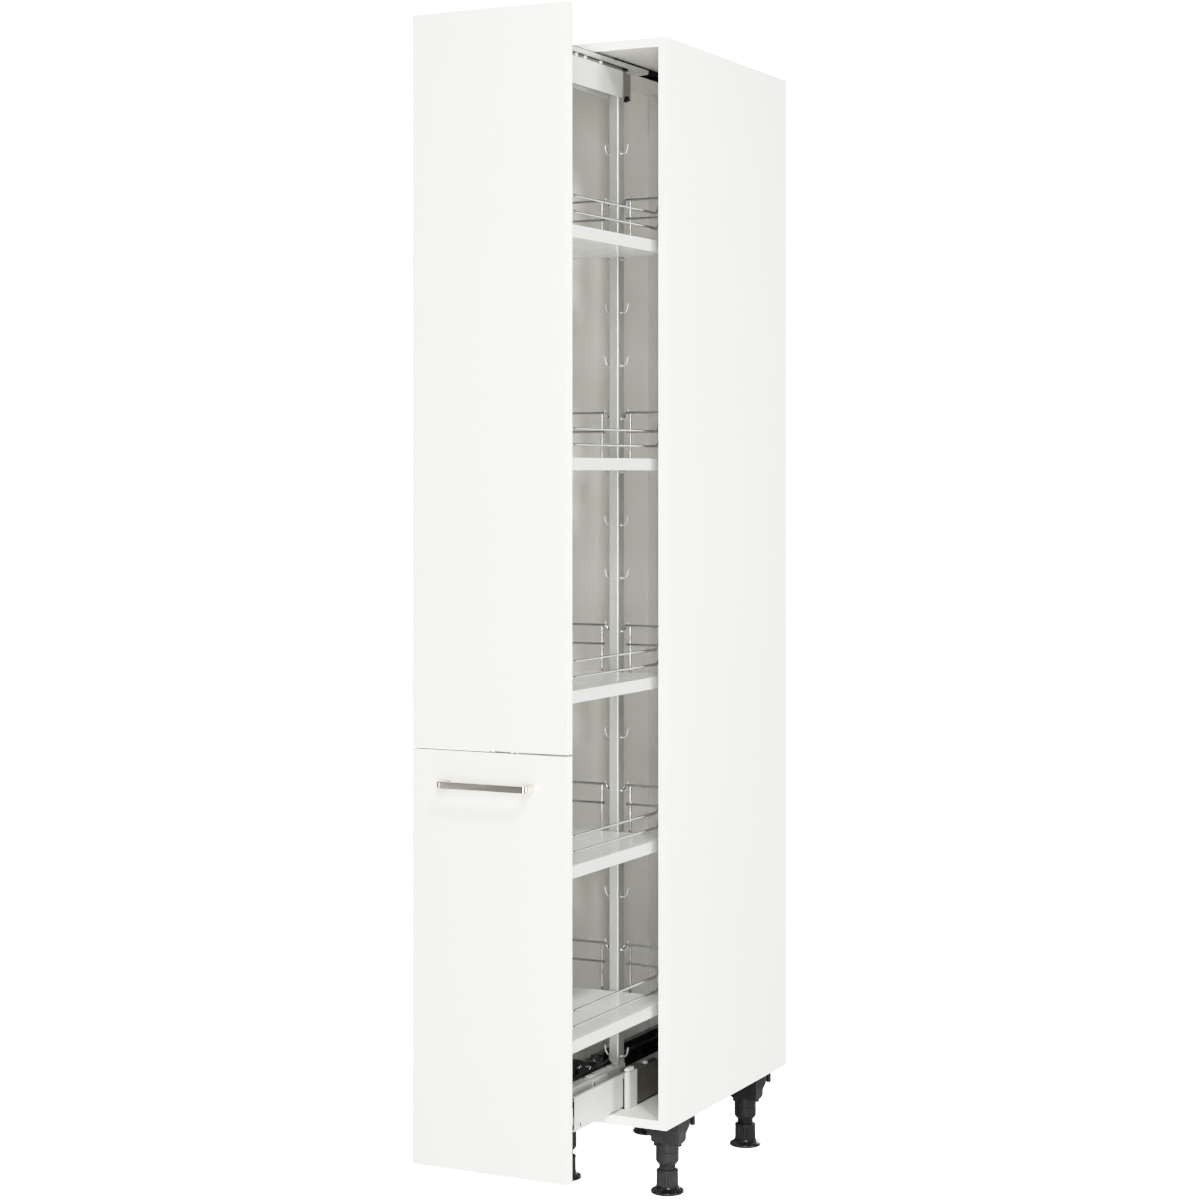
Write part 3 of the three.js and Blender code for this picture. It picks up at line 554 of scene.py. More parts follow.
# Thin black strips along the rails' outer foot: painted contact shadow on the cabinet floor.
contact_shadow_strip = box(49.9, 50.6, 84.2, 515.5, 16.25, 19.4, r=0.1, seg=1)
piece("fixed_rail_painted_contact_shadows", [contact_shadow_strip, mirror(contact_shadow_strip)], "carcase", M_BLACK_AND_SHADE)
piece("fixed_rail_right_finished", [rail_shell], "carcase", M_DARKRAIL, ["fixed_rail_right"])
piece("fixed_rail_left_finished", [mirror(rail_shell)], "carcase", M_BLACKRAIL, ["fixed_rail_left"])
lug = prism(fillet([(126, 82), (134.5, 82), (134.5, 86.4, 1.2), (131, 87.2, 1.5), (127.5, 86.6, 1.2), (126, 84.5, 1)], 4), "x", 42.5, 49.6, r=0.5)
piece("fixed_rail_stop_right", [lug], "carcase", M_ZINC_Y)
bumper = boolean(prism(fillet([(134.6, 82), (169, 82), (169, 84, 1.4), (163, 86.4, 2.5), (134.6, 86.6, 1)], 4), "x", 42.8, 49.4, r=0.6),
                 [box(48.9, 51, 139, 164, 83.2, 84.6, r=0)])
# The thin black sheet on the rail's top, between the end cap and the bumper, darkens that stretch of the rail.
piece("fixed_rail_bumper_right", [bumper, box(25.5, 48.4, 84.5, 126.5, 82.02, 82.5, r=0.2)], "carcase", M_BLACK_AND_SHADE)
piece("fixed_rail_cover_left", [prism(fillet([(-50, 82), (-24, 82), (-24, 82.6, 0.3), (-36, 83.0, 1), (-37, 94.5, 1), (-49, 95, 1), (-50, 94, 0.5)], 3), "y", 96, 514, r=0.3)], "carcase", M_BLACK_AND_SHADE)
plate = fillet([(-41, 60, 2), (-41, 38, 3), (-31, 38, 3), (-27, 60, 4), (27, 60, 4), (31, 38, 3), (41, 38, 3), (41, 60, 2), (41, 516), (-41, 516)], 4)
piece("runner_floor_plate_finished", [prism(plate, "z", 16.3, 17.8, r=0.3, seg=1)], "carcase", M_GREY, ["runner_floor_plate"])
cap_plan = fillet([(43.2, 48, 0.8), (51.7, 48, 8.4), (51.7, 84, 0.6), (50.3, 84), (50.3, 65.7), (43.2, 65.7)], 9)
cap_main = prism(cap_plan, "z", 16.3, 83.2, r=0.3)
cap_top = prism(fillet([(37, 58, 2), (51.4, 58, 1), (51.4, 83.8, 1.5), (37, 83.8, 2)], 4), "z", 82.3, 83.15, r=0.2)
CAPS = [cap_main, cap_top]
cap_back = merge([box(40.5, 43.15, 48.4, 65.6, 17.0, 70.5, r=0.15), box(34.0, 43.15, 44.5, 65.6, 16.9, 18.7, r=0.15)])
piece("end_cap_inserts", [cap_back, mirror(cap_back)], "carcase", M_BLACK_AND_SHADE)
piece("end_cap_right_finished", CAPS, "carcase", M_CAP, ["end_cap_right"])
piece("end_cap_left_finished", [mirror(s) for s in CAPS], "carcase", M_CAP, ["end_cap_left"])
btn = prism(fillet([(53, 83.5, 0.6), (78, 83.5, 0.6), (78, 86.8, 2.0), (74, 89.1, 3), (57, 89.1, 3), (53, 86.8, 2.0)], 6), "x", 40.5, 49.5, r=1.5, seg=4)
pin = lathe([(0, 49.3), (1.9, 49.3), (2.1, 49.9), (1.9, 50.6), (0, 50.6)], centre=(0, 75.5, 85.6), axis="x", segs=20)
piece("cap_button_right_finished", [btn], "carcase", M_BUTTON, ["cap_button_right"])
piece("cap_button_left_finished", [mirror(btn)], "carcase", M_BUTTON, ["cap_button_left"])
piece("cap_button_pins", [pin, mirror(pin)], "carcase", M_BLACK_AND_SHADE)
piece("damper_striker_finished", [prism(fillet([(380, 82.3), (404, 82.3), (404, 83.2, 0.3), (402, 83.6, 0.8), (382, 83.6, 0.8), (380, 83.2, 0.3)], 3), "x", -34, -26, r=0.15)],
      "carcase", M_ZINC, ["damper_striker"])

TZ = H - T
piece("top_fixed_rail_finished", [prism(fillet([(-12, TZ - 0.3, 0.8), (12, TZ - 0.3, 0.8), (12, TZ - 11.5, 0.6), (10.4, TZ - 11.5), (10.4, TZ - 1.9, 0.5), (-10.4, TZ - 1.9, 0.5), (-10.4, TZ - 11.5), (-12, TZ - 11.5, 0.6)], 3),
                                        "y", 78, 505, r=0.12, seg=1)], "carcase", M_BLACKRAIL, ["top_fixed_rail"])

# ------------------------------------------------------------------ middle runners
mid = fillet([(-40, 19, 1.5), (40, 19, 1.5), (40, 79.5, 1.5), (34, 79.5), (34, 78), (38.5, 78, 0.6), (38.5, 21, 0.6), (-38.5, 21, 0.6), (-38.5, 78, 0.6), (-34, 78), (-34, 79.5), (-40, 79.5, 1.5)], 4)
mid_shell = prism(mid, "y", -143, 297, r=0.15, seg=1)
mid_shell = boolean(mid_shell, [merge([prism(fillet([(y - 1.6, 24, 1.5), (y + 1.6, 24, 1.5), (y + 1.6, 31, 1.5), (y - 1.6, 31, 1.5)], 4), "x", sx * 39.2 - 3, sx * 39.2 + 3) for y in (-122, 270) for sx in (-1, 1)])])
piece("middle_runner_finished", [mid_shell], "bottom_mid", M_GREY, ["middle_runner"])
# Black sheets on the middle runner's inner wall and base, in its slot and at its front end: painted shade where the
# runner's inside lies in shadow.
piece("middle_runner_painted_shade_liner", [box(-38.2, -36.7, 88, 294, 24.3, 77.5, r=0.4), box(-38.2, 38.2, 104, 294, 21.3, 23.8, r=0.4), box(38.3, 40.12, -123.9, -120.2, 24.4, 30.6, r=0.1, seg=1),
                                box(28, 38.3, -142.8, -139, 45, 70, r=0.4)], "bottom_mid", M_BLACK_AND_SHADE)
rollers = [lathe([(0, -2.4), (3.6, -2.4), (4.1, -1.9), (4.1, 1.9), (3.6, 2.4), (0, 2.4)], centre=(sx * 30, y, 25.9), axis="x", segs=28) for sx in (-1, 1) for y in (-120, -90, 20, 50, 92)]
piece("bottom_rollers", rollers, "bottom_mid", M_WHITE)
tm = fillet([(-14.5, TZ - 4.6, 0.5), (-13, TZ - 4.6), (-13, TZ - 12.3, 0.6), (13, TZ - 12.3, 0.6), (13, TZ - 4.6), (14.5, TZ - 4.6, 0.5),
             (14.5, TZ - 13.8, 1.4), (-14.5, TZ - 13.8, 1.4)], 4)
tm_shell = prism(tm, "y", -175, 211, r=0.12, seg=1)
trim = boolean(box(-30, 30, 195, 230, TZ - 30, TZ + 2, r=0), [prism(fillet([(150, TZ + 1), (211, TZ + 1), (211, TZ - 13.9, 8.0), (150, TZ - 13.9)], 8), "x", -31, 31)])
tm_shell = boolean(tm_shell, [trim])
groove = box(14.2, 15, -180, 204, TZ - 10.6, TZ - 9.9, r=0)
tm_shell = boolean(tm_shell, [groove, mirror(groove)])
tee = prism(fillet([(2, TZ - 13.6), (2, TZ - 15.5), (5, TZ - 15.5, 0.4), (5, TZ - 17, 0.4), (-5, TZ - 17, 0.4), (-5, TZ - 15.5, 0.4), (-2, TZ - 15.5), (-2, TZ - 13.6)], 3), "y", -175, 139, r=0.12, seg=1)
# The upright black strips inside the middle rail stand for ball cages; the low black strips under it are painted
# shadow, the dark line between the inner and middle rails.
cage = box(12.15, 12.85, -172, 205, TZ - 12.2, TZ - 3.2, r=0.1, seg=1)
shadow_strip_low = box(10.1, 12.4, -172, 126, TZ - 14.9, TZ - 13.9, r=0.1, seg=1)
piece("top_ball_cages_and_painted_shadow_strips", [cage, mirror(cage), shadow_strip_low, mirror(shadow_strip_low)], "top_mid", M_BLACK_AND_SHADE)
piece("top_middle_rail_finished", [tm_shell, tee], "top_mid", M_ZINC_Y, ["top_middle_rail"])

# ------------------------------------------------------------------ fronts and handle
DF, DB = -380.0, -364.0
dw = 148.5


def front_board(z0, z1):
    return box(-dw, dw, DF, DB, z0, z1, r=0.9, seg=3)


def drill(x, r, y0, y1, z=650.0, segs=24):
    return lathe([(0, y0), (r, y0), (r, y1), (0, y1)], centre=(x, 0, z), axis="y", segs=segs)


piece("upper_front_finished", [front_board(708, 1950)], "pullout", M_FRONT, ["upper_front"])
low = boolean(front_board(0, 705), [merge([drill(-80, 2.5, DF - 2, DB + 2), drill(80, 2.5, DF - 2, DB + 2)])])
piece("lower_front_finished", [low], "pullout", M_FRONT, ["lower_front"])

HL, HI, HO = 86.0, 74.0, -412.0
bar = fillet([(-HL, DF - 0.3), (-HI, DF - 0.3), (-HI, HO + 9, 3.0), (HI, HO + 9, 3.0), (HI, DF - 0.3), (HL, DF - 0.3), (HL, HO, 9.0), (-HL, HO, 9.0)], 9)
handle = prism(bar, "z", 644.5, 655.5, r=0.75, seg=3, pick=lambda e: abs(e.verts[0].co.z - e.verts[1].co.z) < 0.01)
handle = boolean(handle, [merge([drill(-80, 2.3, DF - 13.5, DF + 1), drill(80, 2.3, DF - 13.5, DF + 1)])])
piece("handle_finished", [handle], "pullout", M_HANDLE, ["handle"], angle=24)


def cross_head(x, y, z, r=4.2, h=2.6, axis="y", sign=1):
    """Pan head with a cross recess; its underside sits at y."""
    prof = [(0, 0), (r - 0.25, 0), (r, 0.25), (r, h * 0.45), (r * 0.86, h * 0.8), (r * 0.55, h * 0.97), (0, h)]
    s = lathe([(a, b * sign) for a, b in prof], axis=axis, segs=28)
    a = h * sign
    lo, hi = sorted((a + 0.6 * sign, a - 1.3 * sign))
    w, l = 0.42, r * 0.52
    if axis == "y":
        cutters = [box(-w, w, lo, hi, -l, l, r=0), box(-l, l, lo, hi, -w, w, r=0)]
    elif axis == "x":
        cutters = [box(lo, hi, -w, w, -l, l, r=0), box(lo, hi, -l, l, -w, w, r=0)]
    else:
        cutters = [box(-w, w, -l, l, lo, hi, r=0), box(-l, l, -w, w, lo, hi, r=0)]
    return move(boolean(s, cutters), x, y, z)


HEAD_Y = cross_head(0, 0, 0)
HEAD_X = cross_head(0, 0, 0, axis="x")
HEAD_Z = cross_head(0, 0, 0, r=3.6, h=2.0, axis="z")
for tag, x in (("left", -80), ("right", 80)):
    shank = lathe([(0, -389), (1.6, -389), (2.0, -388.4), (2.0, -363.9), (0, -363.9)], centre=(x, 0, 650), axis="y", segs=20)
    washer = lathe([(0, -363.7), (5.2, -363.7), (5.2, -363.0), (0, -363.0)], centre=(x, 0, 650), axis="y", segs=28)
    piece("handle_screw_%s_finished" % tag, [shank, move(HEAD_Y, x, -363.0, 650), washer], "pullout", M_SCREW, ["handle_screw_" + tag])

# ------------------------------------------------------------------ posts
HOOK_TOP, PITCH, HOOKS = 1761.4, 97.87, 18


def rounded_rect(x0, x1, y0, y1, r, steps=5):
    return fillet([(x0, y0, r), (x1, y0, r), (x1, y1, r), (x0, y1, r)], steps)


def post_shells(y0):
    tube = tube_section(rounded_rect(-10, 10, y0, y0 + 25, 3.0), rounded_rect(-8.5, 8.5, y0 + 1.5, y0 + 23.5, 1.5), "z", 91, 1900)
    tongue = prism(fillet([(-10, 98), (10, 98), (10, 82.2, 1.5), (1, 82.2, 3), (-10, 91.5, 9)], 6), "y", y0 + 0.05, y0 + 1.5, r=0.15, seg=1)
    rear = prism(fillet([(-10, 98), (10, 98), (10, 82.2, 1.5), (-10, 82.2, 1.5)], 4), "y", y0 + 23.5, y0 + 24.95, r=0.15, seg=1)
    out = [tube, tongue, rear]
    yc = y0 + 12.5
    for k in range(HOOKS):
        z = HOOK_TOP - k * PITCH
        pts = route([(8.6, yc, z), (18.2, yc, z, 4.2), (22.0, yc, z + 6.5, 10), (23.9, yc, z + 17.4)], 8)
        h = sweep(pts, 1.8, 10)
        weld = lathe([(0, 9.6), (3.0, 9.6), (2.9, 10.3), (2.3, 11.2), (1.8, 12.0), (0, 12.0)], centre=(0, yc, z), axis="x", segs=14)
        out += [h, mirror(h), weld, mirror(weld)]
    return out


piece("rear_post_finished", post_shells(91.0), "pullout", M_ZINC, ["rear_post"])
piece("front_post_finished", post_shells(-345.0), "pullout", M_ZINC, ["front_post"])

for tag, k in (("lower_1", 15), ("lower_2", 12), ("upper_1", 9), ("upper_2", 6), ("upper_3", 1)):
    z = HOOK_TOP - k * PITCH - 40
    ell = fillet([(10.3, DB + 0.3, 1.0), (48, DB + 0.3), (48, DB + 2.3), (12.3, DB + 2.3, 1.2), (12.3, -325), (10.3, -325)], 5)
    s = prism(ell, "z", z - 25, z + 25, r=0.3, seg=1)
    s = boolean(s, [merge([lathe([(0, DB - 1), (2.3, DB - 1), (2.3, DB + 4), (0, DB + 4)], centre=(x, 0, z + dz), axis="y", segs=20) for x, dz in ((24, 15), (24, -15), (40, 0))])])
    piece("front_bracket_%s_finished" % tag, [s], "pullout", M_ZINC, ["front_bracket_" + tag])
    heads = [move(HEAD_Y, x, DB + 2.35, z + dz) for x, dz in ((24, 15), (24, -15), (40, 0))]
    heads += [move(HEAD_X, 12.35, -332.5, z + dz) for dz in (14, -14)]
    piece("front_bracket_screws_%s" % tag, heads, "pullout", M_SCREW)

# ------------------------------------------------------------------ top beam
beam = fillet([(-12.5, 1864, 0.5), (-12.5, 1914, 1.8), (12.5, 1914, 1.8), (12.5, 1864, 0.5), (11, 1864), (11, 1912.5, 0.8), (-11, 1912.5, 0.8), (-11, 1864)], 4)
beam_shell = prism(beam, "y", -360, 104, r=0.12, seg=1)
slot_b = prism(fillet([(-3, y, 2.9) for y in (0,)] + [(3, 0, 2.9), (3, 16, 2.9), (-3, 16, 2.9)], 5), "z", 1905, 1921)
beam_shell = boolean(beam_shell, [merge([move(slot_b, 0, y, 0) for y in (-330, -210)])])


def beam_side(y, inset):
    t = min(1.0, max(0.0, (y - 101.0) / 21.0))
    return 12.5 - inset - 6.2 * t * t * (3 - 2 * t)


ys = [103.9 + 22.1 * i / 16 for i in range(17)] + [149.6]
nose_out = [(-beam_side(y, 0), y) for y in ys] + [(beam_side(y, 0), y) for y in reversed(ys)]
yi = ys[:-1] + [148.1]
nose_in = [(-beam_side(y, 1.5), y) for y in yi] + [(beam_side(y, 1.5), y) for y in reversed(yi)]
nose = boolean(prism(nose_out, "z", 1864, 1914), [prism([(-11.0, 100.0)] + nose_in + [(11.0, 100.0)], "z", 1860, 1912.5)])
# The beam's joggled rear end is real shape; its darker colour is painted shade, standing in for the right side
# panel's shadow across the end of the beam.
piece("top_beam_end_painted_shade", [nose], "pullout", M_DARK_ZINC_AND_SHADE)
piece("top_beam_finished", [beam_shell], "pullout", M_GREY, ["top_beam"])
inner = fillet([(-10, 1914.3, 0.6), (-10, TZ - 14.1, 0.5), (-3, TZ - 14.1), (-3, TZ - 15.2), (-8.6, TZ - 15.2, 0.4), (-8.6, TZ - 18.3, 0.4), (8.6, TZ - 18.3, 0.4),
                (8.6, TZ - 15.2, 0.4), (3, TZ - 15.2), (3, TZ - 14.1), (10, TZ - 14.1, 0.5), (10, 1914.3, 0.6)], 3)
piece("top_inner_rail_finished", [prism(inner, "y", -357, 123, r=0.1, seg=1)], "pullout", M_DARK_ZINC_AND_SHADE, ["top_inner_rail"])
rings, pips = [], []
for y in (-116, -81, -46, 16):
    rings.append(lathe([(2.0, 9.9), (3.6, 9.9), (3.8, 10.3), (3.8, 11.8), (3.4, 12.45), (2.4, 12.45), (2.0, 12.1)], centre=(0, y, 1917.9), axis="x", segs=32, ring=True))
    pips.append(lathe([(0, 9.9), (2.0, 9.9), (2.0, 11.6), (0, 11.6)], centre=(0, y, 1917.9), axis="x", segs=24))
pips.append(prism(fillet([(97.5, 1918.0, 3), (104, 1916.2, 6), (128, 1916.3, 6), (137, 1918.2, 3), (128, 1920.0, 8), (104, 1920.0, 8)], 6), "x", 11.7, 12.5, r=0.2, seg=1))
piece("beam_rings", rings + [mirror(r) for r in rings], "pullout", M_WHITE)
piece("beam_ring_cores", pips + [mirror(r) for r in pips], "pullout", M_BLACK_AND_SHADE)
clamp = merge([box(-4.6, 4.6, 118.5, 127, 1861, 1886, r=0.8), box(4, 8.5, 122, 133, 1859.5, 1864.5, r=1.0),
               prism(fillet([(123, 1861.0), (131, 1861.0), (134, 1864.5, 1.0), (131, 1868.5, 1.5), (126, 1871, 2), (122.5, 1866)], 4), "x", 6.5, 12.4, r=0.6)])
piece("beam_clamp_finished", [clamp], "pullout", M_BLACK_AND_SHADE, ["beam_clamp"])

# ------------------------------------------------------------------ carriage and soft close
car_out = fillet([(-11, 81.7, 1.2), (-11, 32, 0.6), (-34.5, 32, 0.6), (-34.5, 60), (-36, 60), (-36, 30, 1.4), (36, 30, 1.4), (36, 60), (34.5, 60), (34.5, 32, 0.6), (11, 32, 0.6), (11, 81.7, 1.2)], 4)
car = prism(car_out, "y", -360, 118, r=0.12, seg=1)
hollow = prism(fillet([(-9, 79.7, 0.8), (9, 79.7, 0.8), (9, 32.2, 0.6), (-9, 32.2, 0.6)], 3), "y", -365, 123)
windows = [prism(fillet([(y - 22, 42, 6), (y + 22, 42, 6), (y + 22, 62, 6), (y - 22, 62, 6)], 6), "x", -15, 15) for y in (-300, -210)]
car = boolean(car, [hollow, merge(windows)])
piece("carriage_finished", [car], "pullout", M_SPINE, ["carriage"])
strap = prism(fillet([(-8, -12, 3.5), (4, -12, 3.5), (4, 80, 3.5), (-8, 80, 3.5)], 6), "z", 81.75, 83.3, r=0.35)
piece("carriage_strap", [strap], "pullout", M_PLATE)
side_plate = prism(fillet([(-19, 65.4, 1.5), (41, 65.4, 1.5), (41, 79.2, 2.5), (-19, 79.2, 2.5)], 5), "x", 11.05, 12.3, r=0.3)
side_plate = boolean(side_plate, [merge([prism(fillet([(-12.4, 65.9, 2.2), (-7.4, 65.9, 2.2), (-7.4, 76.0, 2.2), (-12.4, 76.0, 2.2)], 5), "x", 10, 14),
                                         lathe([(0, 10), (1.5, 10), (1.5, 14), (0, 14)], centre=(0, 23, 67.9), axis="x", segs=20),
                                         lathe([(0, 10), (1.5, 10), (1.5, 14), (0, 14)], centre=(0, 31, 67.9), axis="x", segs=20)])])
piece("carriage_side_plate", [side_plate], "pullout", M_PLATE)
# Black patches behind the side plate's holes: painted shade inside the holes.
piece("carriage_plate_painted_hole_shade", [box(10.98, 11.35, -14, -6, 65.6, 76.4, r=0.05, seg=1), box(10.98, 11.35, 20, 34, 65.8, 70, r=0.05, seg=1)], "pullout", M_BLACK_AND_SHADE)
piece("carriage_screws", [move(HEAD_Z, -3.4, -20, 81.8), move(HEAD_Z, -3.2, 6, 83.35), move(HEAD_Z, -2.6, 62, 83.35)], "pullout", M_SCREW)

unit = [box(-34, -12.5, -95, 85, 84.4, 89.0, r=0.8), box(-21, -11.3, -80, 70, 66, 85, r=0.6), box(-30, -13.5, 70, 106.5, 84.6, 87.8, r=0.8),
        prism(fillet([(-29, 88), (-27, 111.5, 3), (-11.6, 112.6, 5), (4, 108, 6), (19, 101.8, 7), (31, 102.4, 6), (38.5, 103.8, 3), (42.6, 98.2, 3), (52, 101, 5), (64, 103.6, 6), (74.5, 104.4, 3), (84, 102, 5), (93.5, 99.3, 4), (107, 88)], 5), "x", -31, -22.2, r=1.2, seg=3),
        prism(fillet([(-24, 88), (-22, 96, 3), (-6, 98.5, 4), (10, 93.5, 4), (30, 90.5, 3), (52, 92.5, 3), (60, 88)], 4), "x", -22.4, -14, r=0.8, seg=2),
        prism(fillet([(-92, 88), (-90, 99, 4), (-70, 103, 6), (-40, 104, 5), (-30, 100, 4), (-29, 88)], 5), "x", -29, -17, r=1.2, seg=3)]
for y in (-84, -72, -60, -48, -38):
    unit.append(box(-30, -16, y, y + 2.4, 99.5, 104.4, r=0.5))
piece("soft_close_unit_finished", unit, "pullout", M_BLACK_AND_SHADE, ["soft_close_unit"])
coil = [(-20 + 3.0 * math.cos(t), -20 + t * 0.9, 98.5 + 3.0 * math.sin(t)) for t in [i * 2 * math.pi / 12 for i in range(12 * 3)]]
bright = [sweep(route([(-21.2, 50.5, 98.6), (-21.2, 56, 94.6, 3), (-21.2, 66, 89.3, 2.5), (-21.2, 78.5, 89.3, 2), (-21.2, 86, 93.2)], 6), 1.0, 10),
          sweep(route([(-13.6, 2.5, 97.0), (-13.6, 18, 94.6, 14), (-13.6, 33.5, 91.4, 2.4), (-13.6, 17, 88.9)], 8), 0.95, 10),
          sweep(coil, 0.6, 8)]
piece("soft_close_springs", bright, "pullout", M_SCREW)

# ------------------------------------------------------------------ shelves
SHELF_DROP = 73.6


def gallery_shells():
    X, Y, YF, r = 118.0, 98.0, -308.0, 2.25
    up, low, rup, rlow = 49.0, 22.0, 85.0, 50.0

    def a(s):
        return [(s * 15.5, Y + 12, 77.95), (s * 15.5, Y, 77.95, 3), (s * 21.5, Y, rup, 5), (s * X, Y, rup, 20), (s * X, 55, rup, 9), (s * X, 25, up, 9), (s * X, YF, up, 10)]

    def b(s):
        return [(s * 22, Y, rlow), (s * X, Y, rlow, 20), (s * X, 55, rlow, 9), (s * X, 27, low, 9), (s * X, YF, low, 10)]

    out = []
    for f in (a, b):
        out.append(sweep(route(f(1) + list(reversed(f(-1))), 10), r, 12))
    for s in (1, -1):
        u = s * 29
        out.append(sweep(route([(s * 14.2, Y, -5), (s * 104, Y, -5, 6), (s * 104, 74, -5)], 8), r, 12))
        out.append(sweep([(u, Y + 3.6, rup + 1.5), (u, Y + 3.6, 40), (u, Y + 3.4, -6.8)], r * 0.98, 12))
        out.append(sweep(route([(u, YF - 3.2, 3.0), (u, YF - 3.2, 77.95, 6), (s * 15.5, YF - 3.2, 77.95, 5), (s * 15.5, YF - 33, 77.95)], 8), r, 12))
        out.append(sweep([(u, YF - 1.0, -9.8), (u, YF - 1.4, 1.5), (u, YF - 3.2, 6.0)], r * 0.9, 12))
        for z in (rlow, -5.0):
            out.append(lathe([(0, -1.9), (1.9, -1.7), (2.9, -0.6), (2.9, 0.6), (1.9, 1.7), (0, 1.9)], centre=(u, Y + 1.8, z), axis="x", segs=14))
    return out


def board_shells():
    core = box(-118.95, 118.95, -313.95, 86, -21, 0, r=0.3)
    holes = [lathe([(0, -10.4), (2.65, -10.4), (2.65, 1), (0, 1)], centre=(s * 29, -308.8, 0), segs=20) for s in (1, -1)]
    holes += [lathe([(0, 73.6), (2.65, 73.6), (2.65, 88), (0, 88)], centre=(s * 104, 0, -5), axis="y", segs=20) for s in (1, -1)]
    core = boolean(core, [merge(holes)])
    bands = [box(-120, -119.0, -315, 86, -21, 0, r=0.35), box(119.0, 120, -315, 86, -21, 0, r=0.35), box(-118.95, 118.95, -315, -314.0, -21, 0, r=0.35)]
    return core, bands


GALLERY = gallery_shells()
CORE, BANDS = board_shells()
for i, k in enumerate((1, 5, 9, 12, 15)):
    z = HOOK_TOP - k * PITCH - SHELF_DROP
    n = i + 1
    piece("shelf_board_%d_finished" % n, [move(CORE, 0, 0, z)], "shelf_%d" % n, M_BOARD, ["shelf_board_%d" % n])
    piece("shelf_edge_bands_%d" % n, [move(s, 0, 0, z) for s in BANDS], "shelf_%d" % n, M_BAND)
    piece("shelf_gallery_%d_finished" % n, [move(s, 0, 0, z) for s in GALLERY], "shelf_%d" % n, M_CHROME, ["shelf_gallery_%d" % n], angle=50)

# ------------------------------------------------------------------ stage
me = bpy.data.meshes.new("floor")
R = 14.0
me.from_pydata([(-R, -R, 0), (R, -R, 0), (R, R, 0), (-R, R, 0)], [], [(0, 1, 2, 3)])
floor = bpy.data.objects.new("floor", me)
bpy.context.scene.collection.objects.link(floor)
pale = material("floor_pale", (0.90, 0.90, 0.895), 0.6, vary=0.004, scale=0.7, rough_vary=0.03, bumps=[(200, ONE, 0.00005, 0.1, 2)], spec=0.2)
ft = pale.node_tree
f_out = [n for n in ft.nodes if n.type == "OUTPUT_MATERIAL"][0]
f_sh = [n for n in ft.nodes if n.type == "BSDF_PRINCIPLED"][0]
f_path = ft.nodes.new("ShaderNodeLightPath")
f_pow = ft.nodes.new("ShaderNodeMath")
f_pow.operation = "MULTIPLY"
f_pow.inputs[1].default_value = 1.95
f_glow = ft.nodes.new("ShaderNodeEmission")
f_add = ft.nodes.new("ShaderNodeAddShader")
ft.links.new(f_path.outputs["Is Camera Ray"], f_pow.inputs[0])
ft.links.new(f_pow.outputs["Value"], f_glow.inputs["Strength"])
ft.links.new(f_sh.outputs["BSDF"], f_add.inputs[0])
ft.links.new(f_glow.outputs["Emission"], f_add.inputs[1])
ft.links.new(f_add.outputs["Shader"], f_out.inputs["Surface"])
floor.data.materials.append(pale)

world = bpy.data.worlds.new("studio")
bpy.context.scene.world = world
world.use_nodes = True
wt = world.node_tree
wt.nodes.clear()
w_out = wt.nodes.new("ShaderNodeOutputWorld")
w_mix = wt.nodes.new("ShaderNodeMixShader")
w_path = wt.nodes.new("ShaderNodeLightPath")
w_amb = wt.nodes.new("ShaderNodeBackground")
w_cam = wt.nodes.new("ShaderNodeBackground")
w_amb.inputs["Color"].default_value = (1.0, 0.995, 0.985, 1)
w_amb.inputs["Strength"].default_value = 0.18
w_cam.inputs["Color"].default_value = (1, 1, 1, 1)
w_cam.inputs["Strength"].default_value = 2.4
wt.links.new(w_path.outputs["Is Camera Ray"], w_mix.inputs["Fac"])
wt.links.new(w_amb.outputs["Background"], w_mix.inputs[1])
wt.links.new(w_cam.outputs["Background"], w_mix.inputs[2])
wt.links.new(w_mix.outputs["Shader"], w_out.inputs["Surface"])


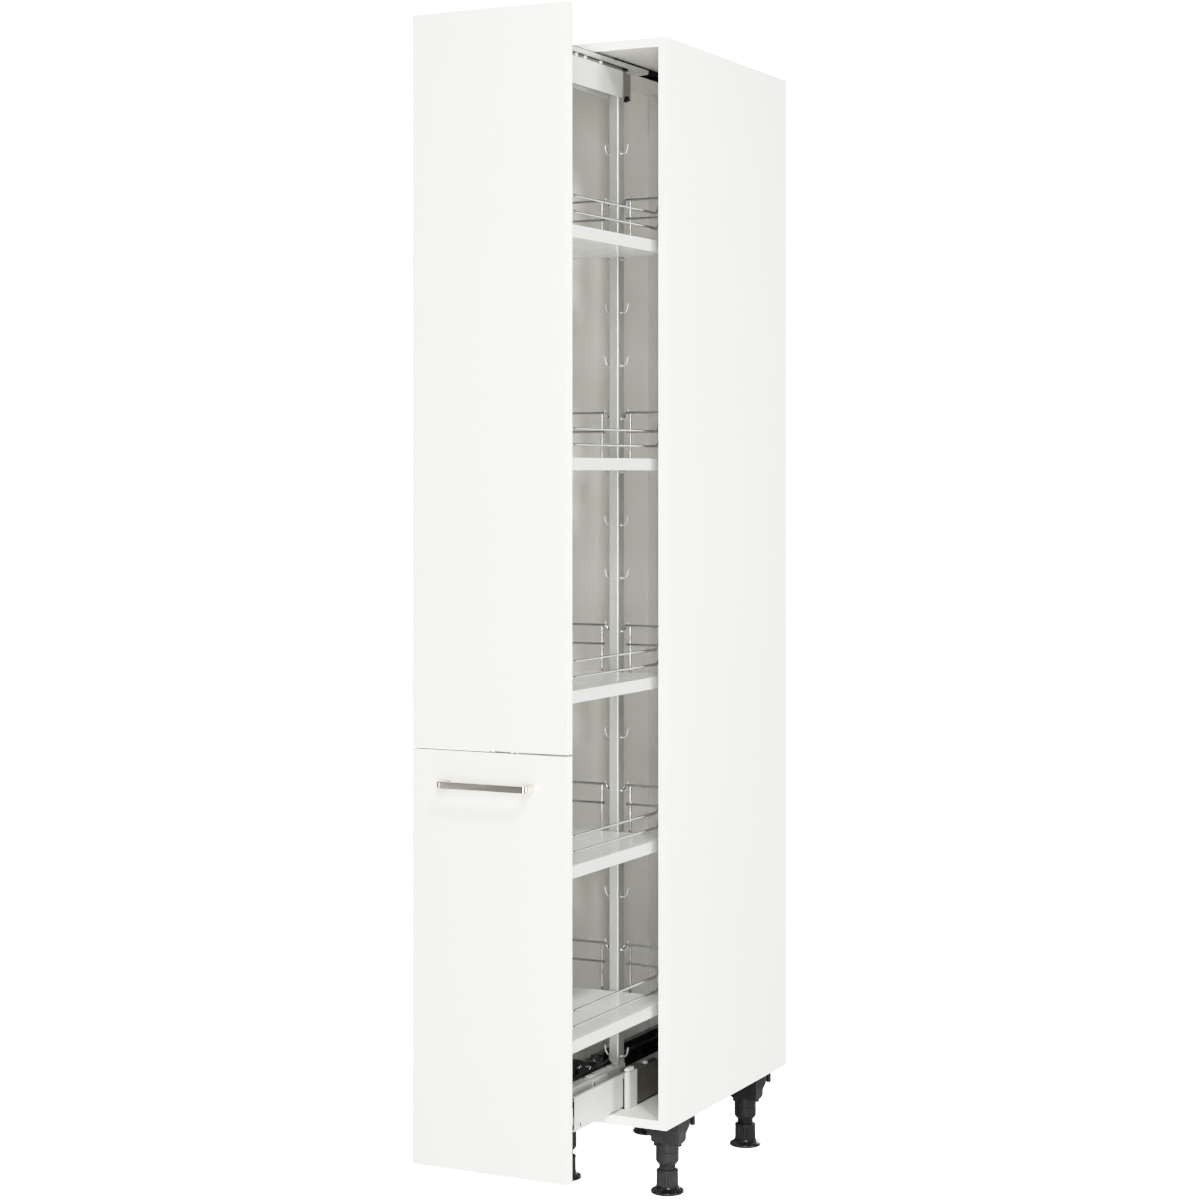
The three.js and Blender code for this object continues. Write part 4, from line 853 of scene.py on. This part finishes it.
def softbox(name, azimuth, distance, height, width, tall, watts, colour=(1, 1, 1), target=(0.0, 0.0, 1.05)):
    """azimuth in degrees from the -Y axis towards +X"""
    a = math.radians(azimuth)
    pos = Vector((math.sin(a) * distance, -math.cos(a) * distance, height))
    data = bpy.data.lights.new(name, "AREA")
    data.shape, data.size, data.size_y, data.energy, data.color = "RECTANGLE", width, tall, watts, colour
    ob = bpy.data.objects.new(name, data)
    ob.location = pos
    ob.rotation_euler = (Vector(target) - pos).to_track_quat("-Z", "Y").to_euler()
    ob.visible_camera = False
    bpy.context.scene.collection.objects.link(ob)
    return ob


softbox("front_right", 27, 4.0, 1.4, 0.7, 2.8, 148)
softbox("high_right", 44, 3.0, 3.9, 0.5, 0.5, 75, target=(0.0, -0.1, 0.2))
softbox("side_right", 85, 4.0, 1.4, 0.9, 2.6, 74)
softbox("rim_right", 152, 4.0, 1.4, 0.9, 2.6, 12)
softbox("rear", 180, 4.0, 1.4, 0.5, 2.6, 60)
softbox("front_left_low", -39, 4.0, 0.5, 0.9, 1.0, 14)

cam_data = bpy.data.cameras.new("camera")
cam_data.sensor_fit = "HORIZONTAL"
cam_data.sensor_width = 36.0
cam_data.lens = 74.82
cam_data.shift_x = 0.0
cam_data.shift_y = -0.10656
cam_data.clip_end = 60.0
cam = bpy.data.objects.new("camera", cam_data)
cam.location = (2.0298, -4.1021, 1.3142)
cam.rotation_euler = (math.radians(90), 0.0, math.radians(26.545))
bpy.context.scene.collection.objects.link(cam)
bpy.context.scene.camera = cam
view = bpy.context.scene.view_settings
view.view_transform = "Standard"
view.look = "None"
view.exposure = 0.0
view.gamma = 1.0
view.use_curve_mapping = True           # a camera's soft shoulder: whites roll off instead of clipping
tone = view.curve_mapping
tone.initialize()
tone.use_clip = False
tone.black_level = (0.0, 0.0, 0.0)
tone.white_level = (2.2, 2.2, 2.2)
shoulder = tone.curves[3]
for x, y in ((0.09091, 0.2), (0.18182, 0.4), (0.31818, 0.63), (0.45455, 0.79), (0.63636, 0.915), (0.81818, 0.975)):
    shoulder.points.new(x, y)
shoulder.points[0].location = (0.0, 0.0)
shoulder.points[len(shoulder.points) - 1].location = (1.0, 1.0)
tone.update()
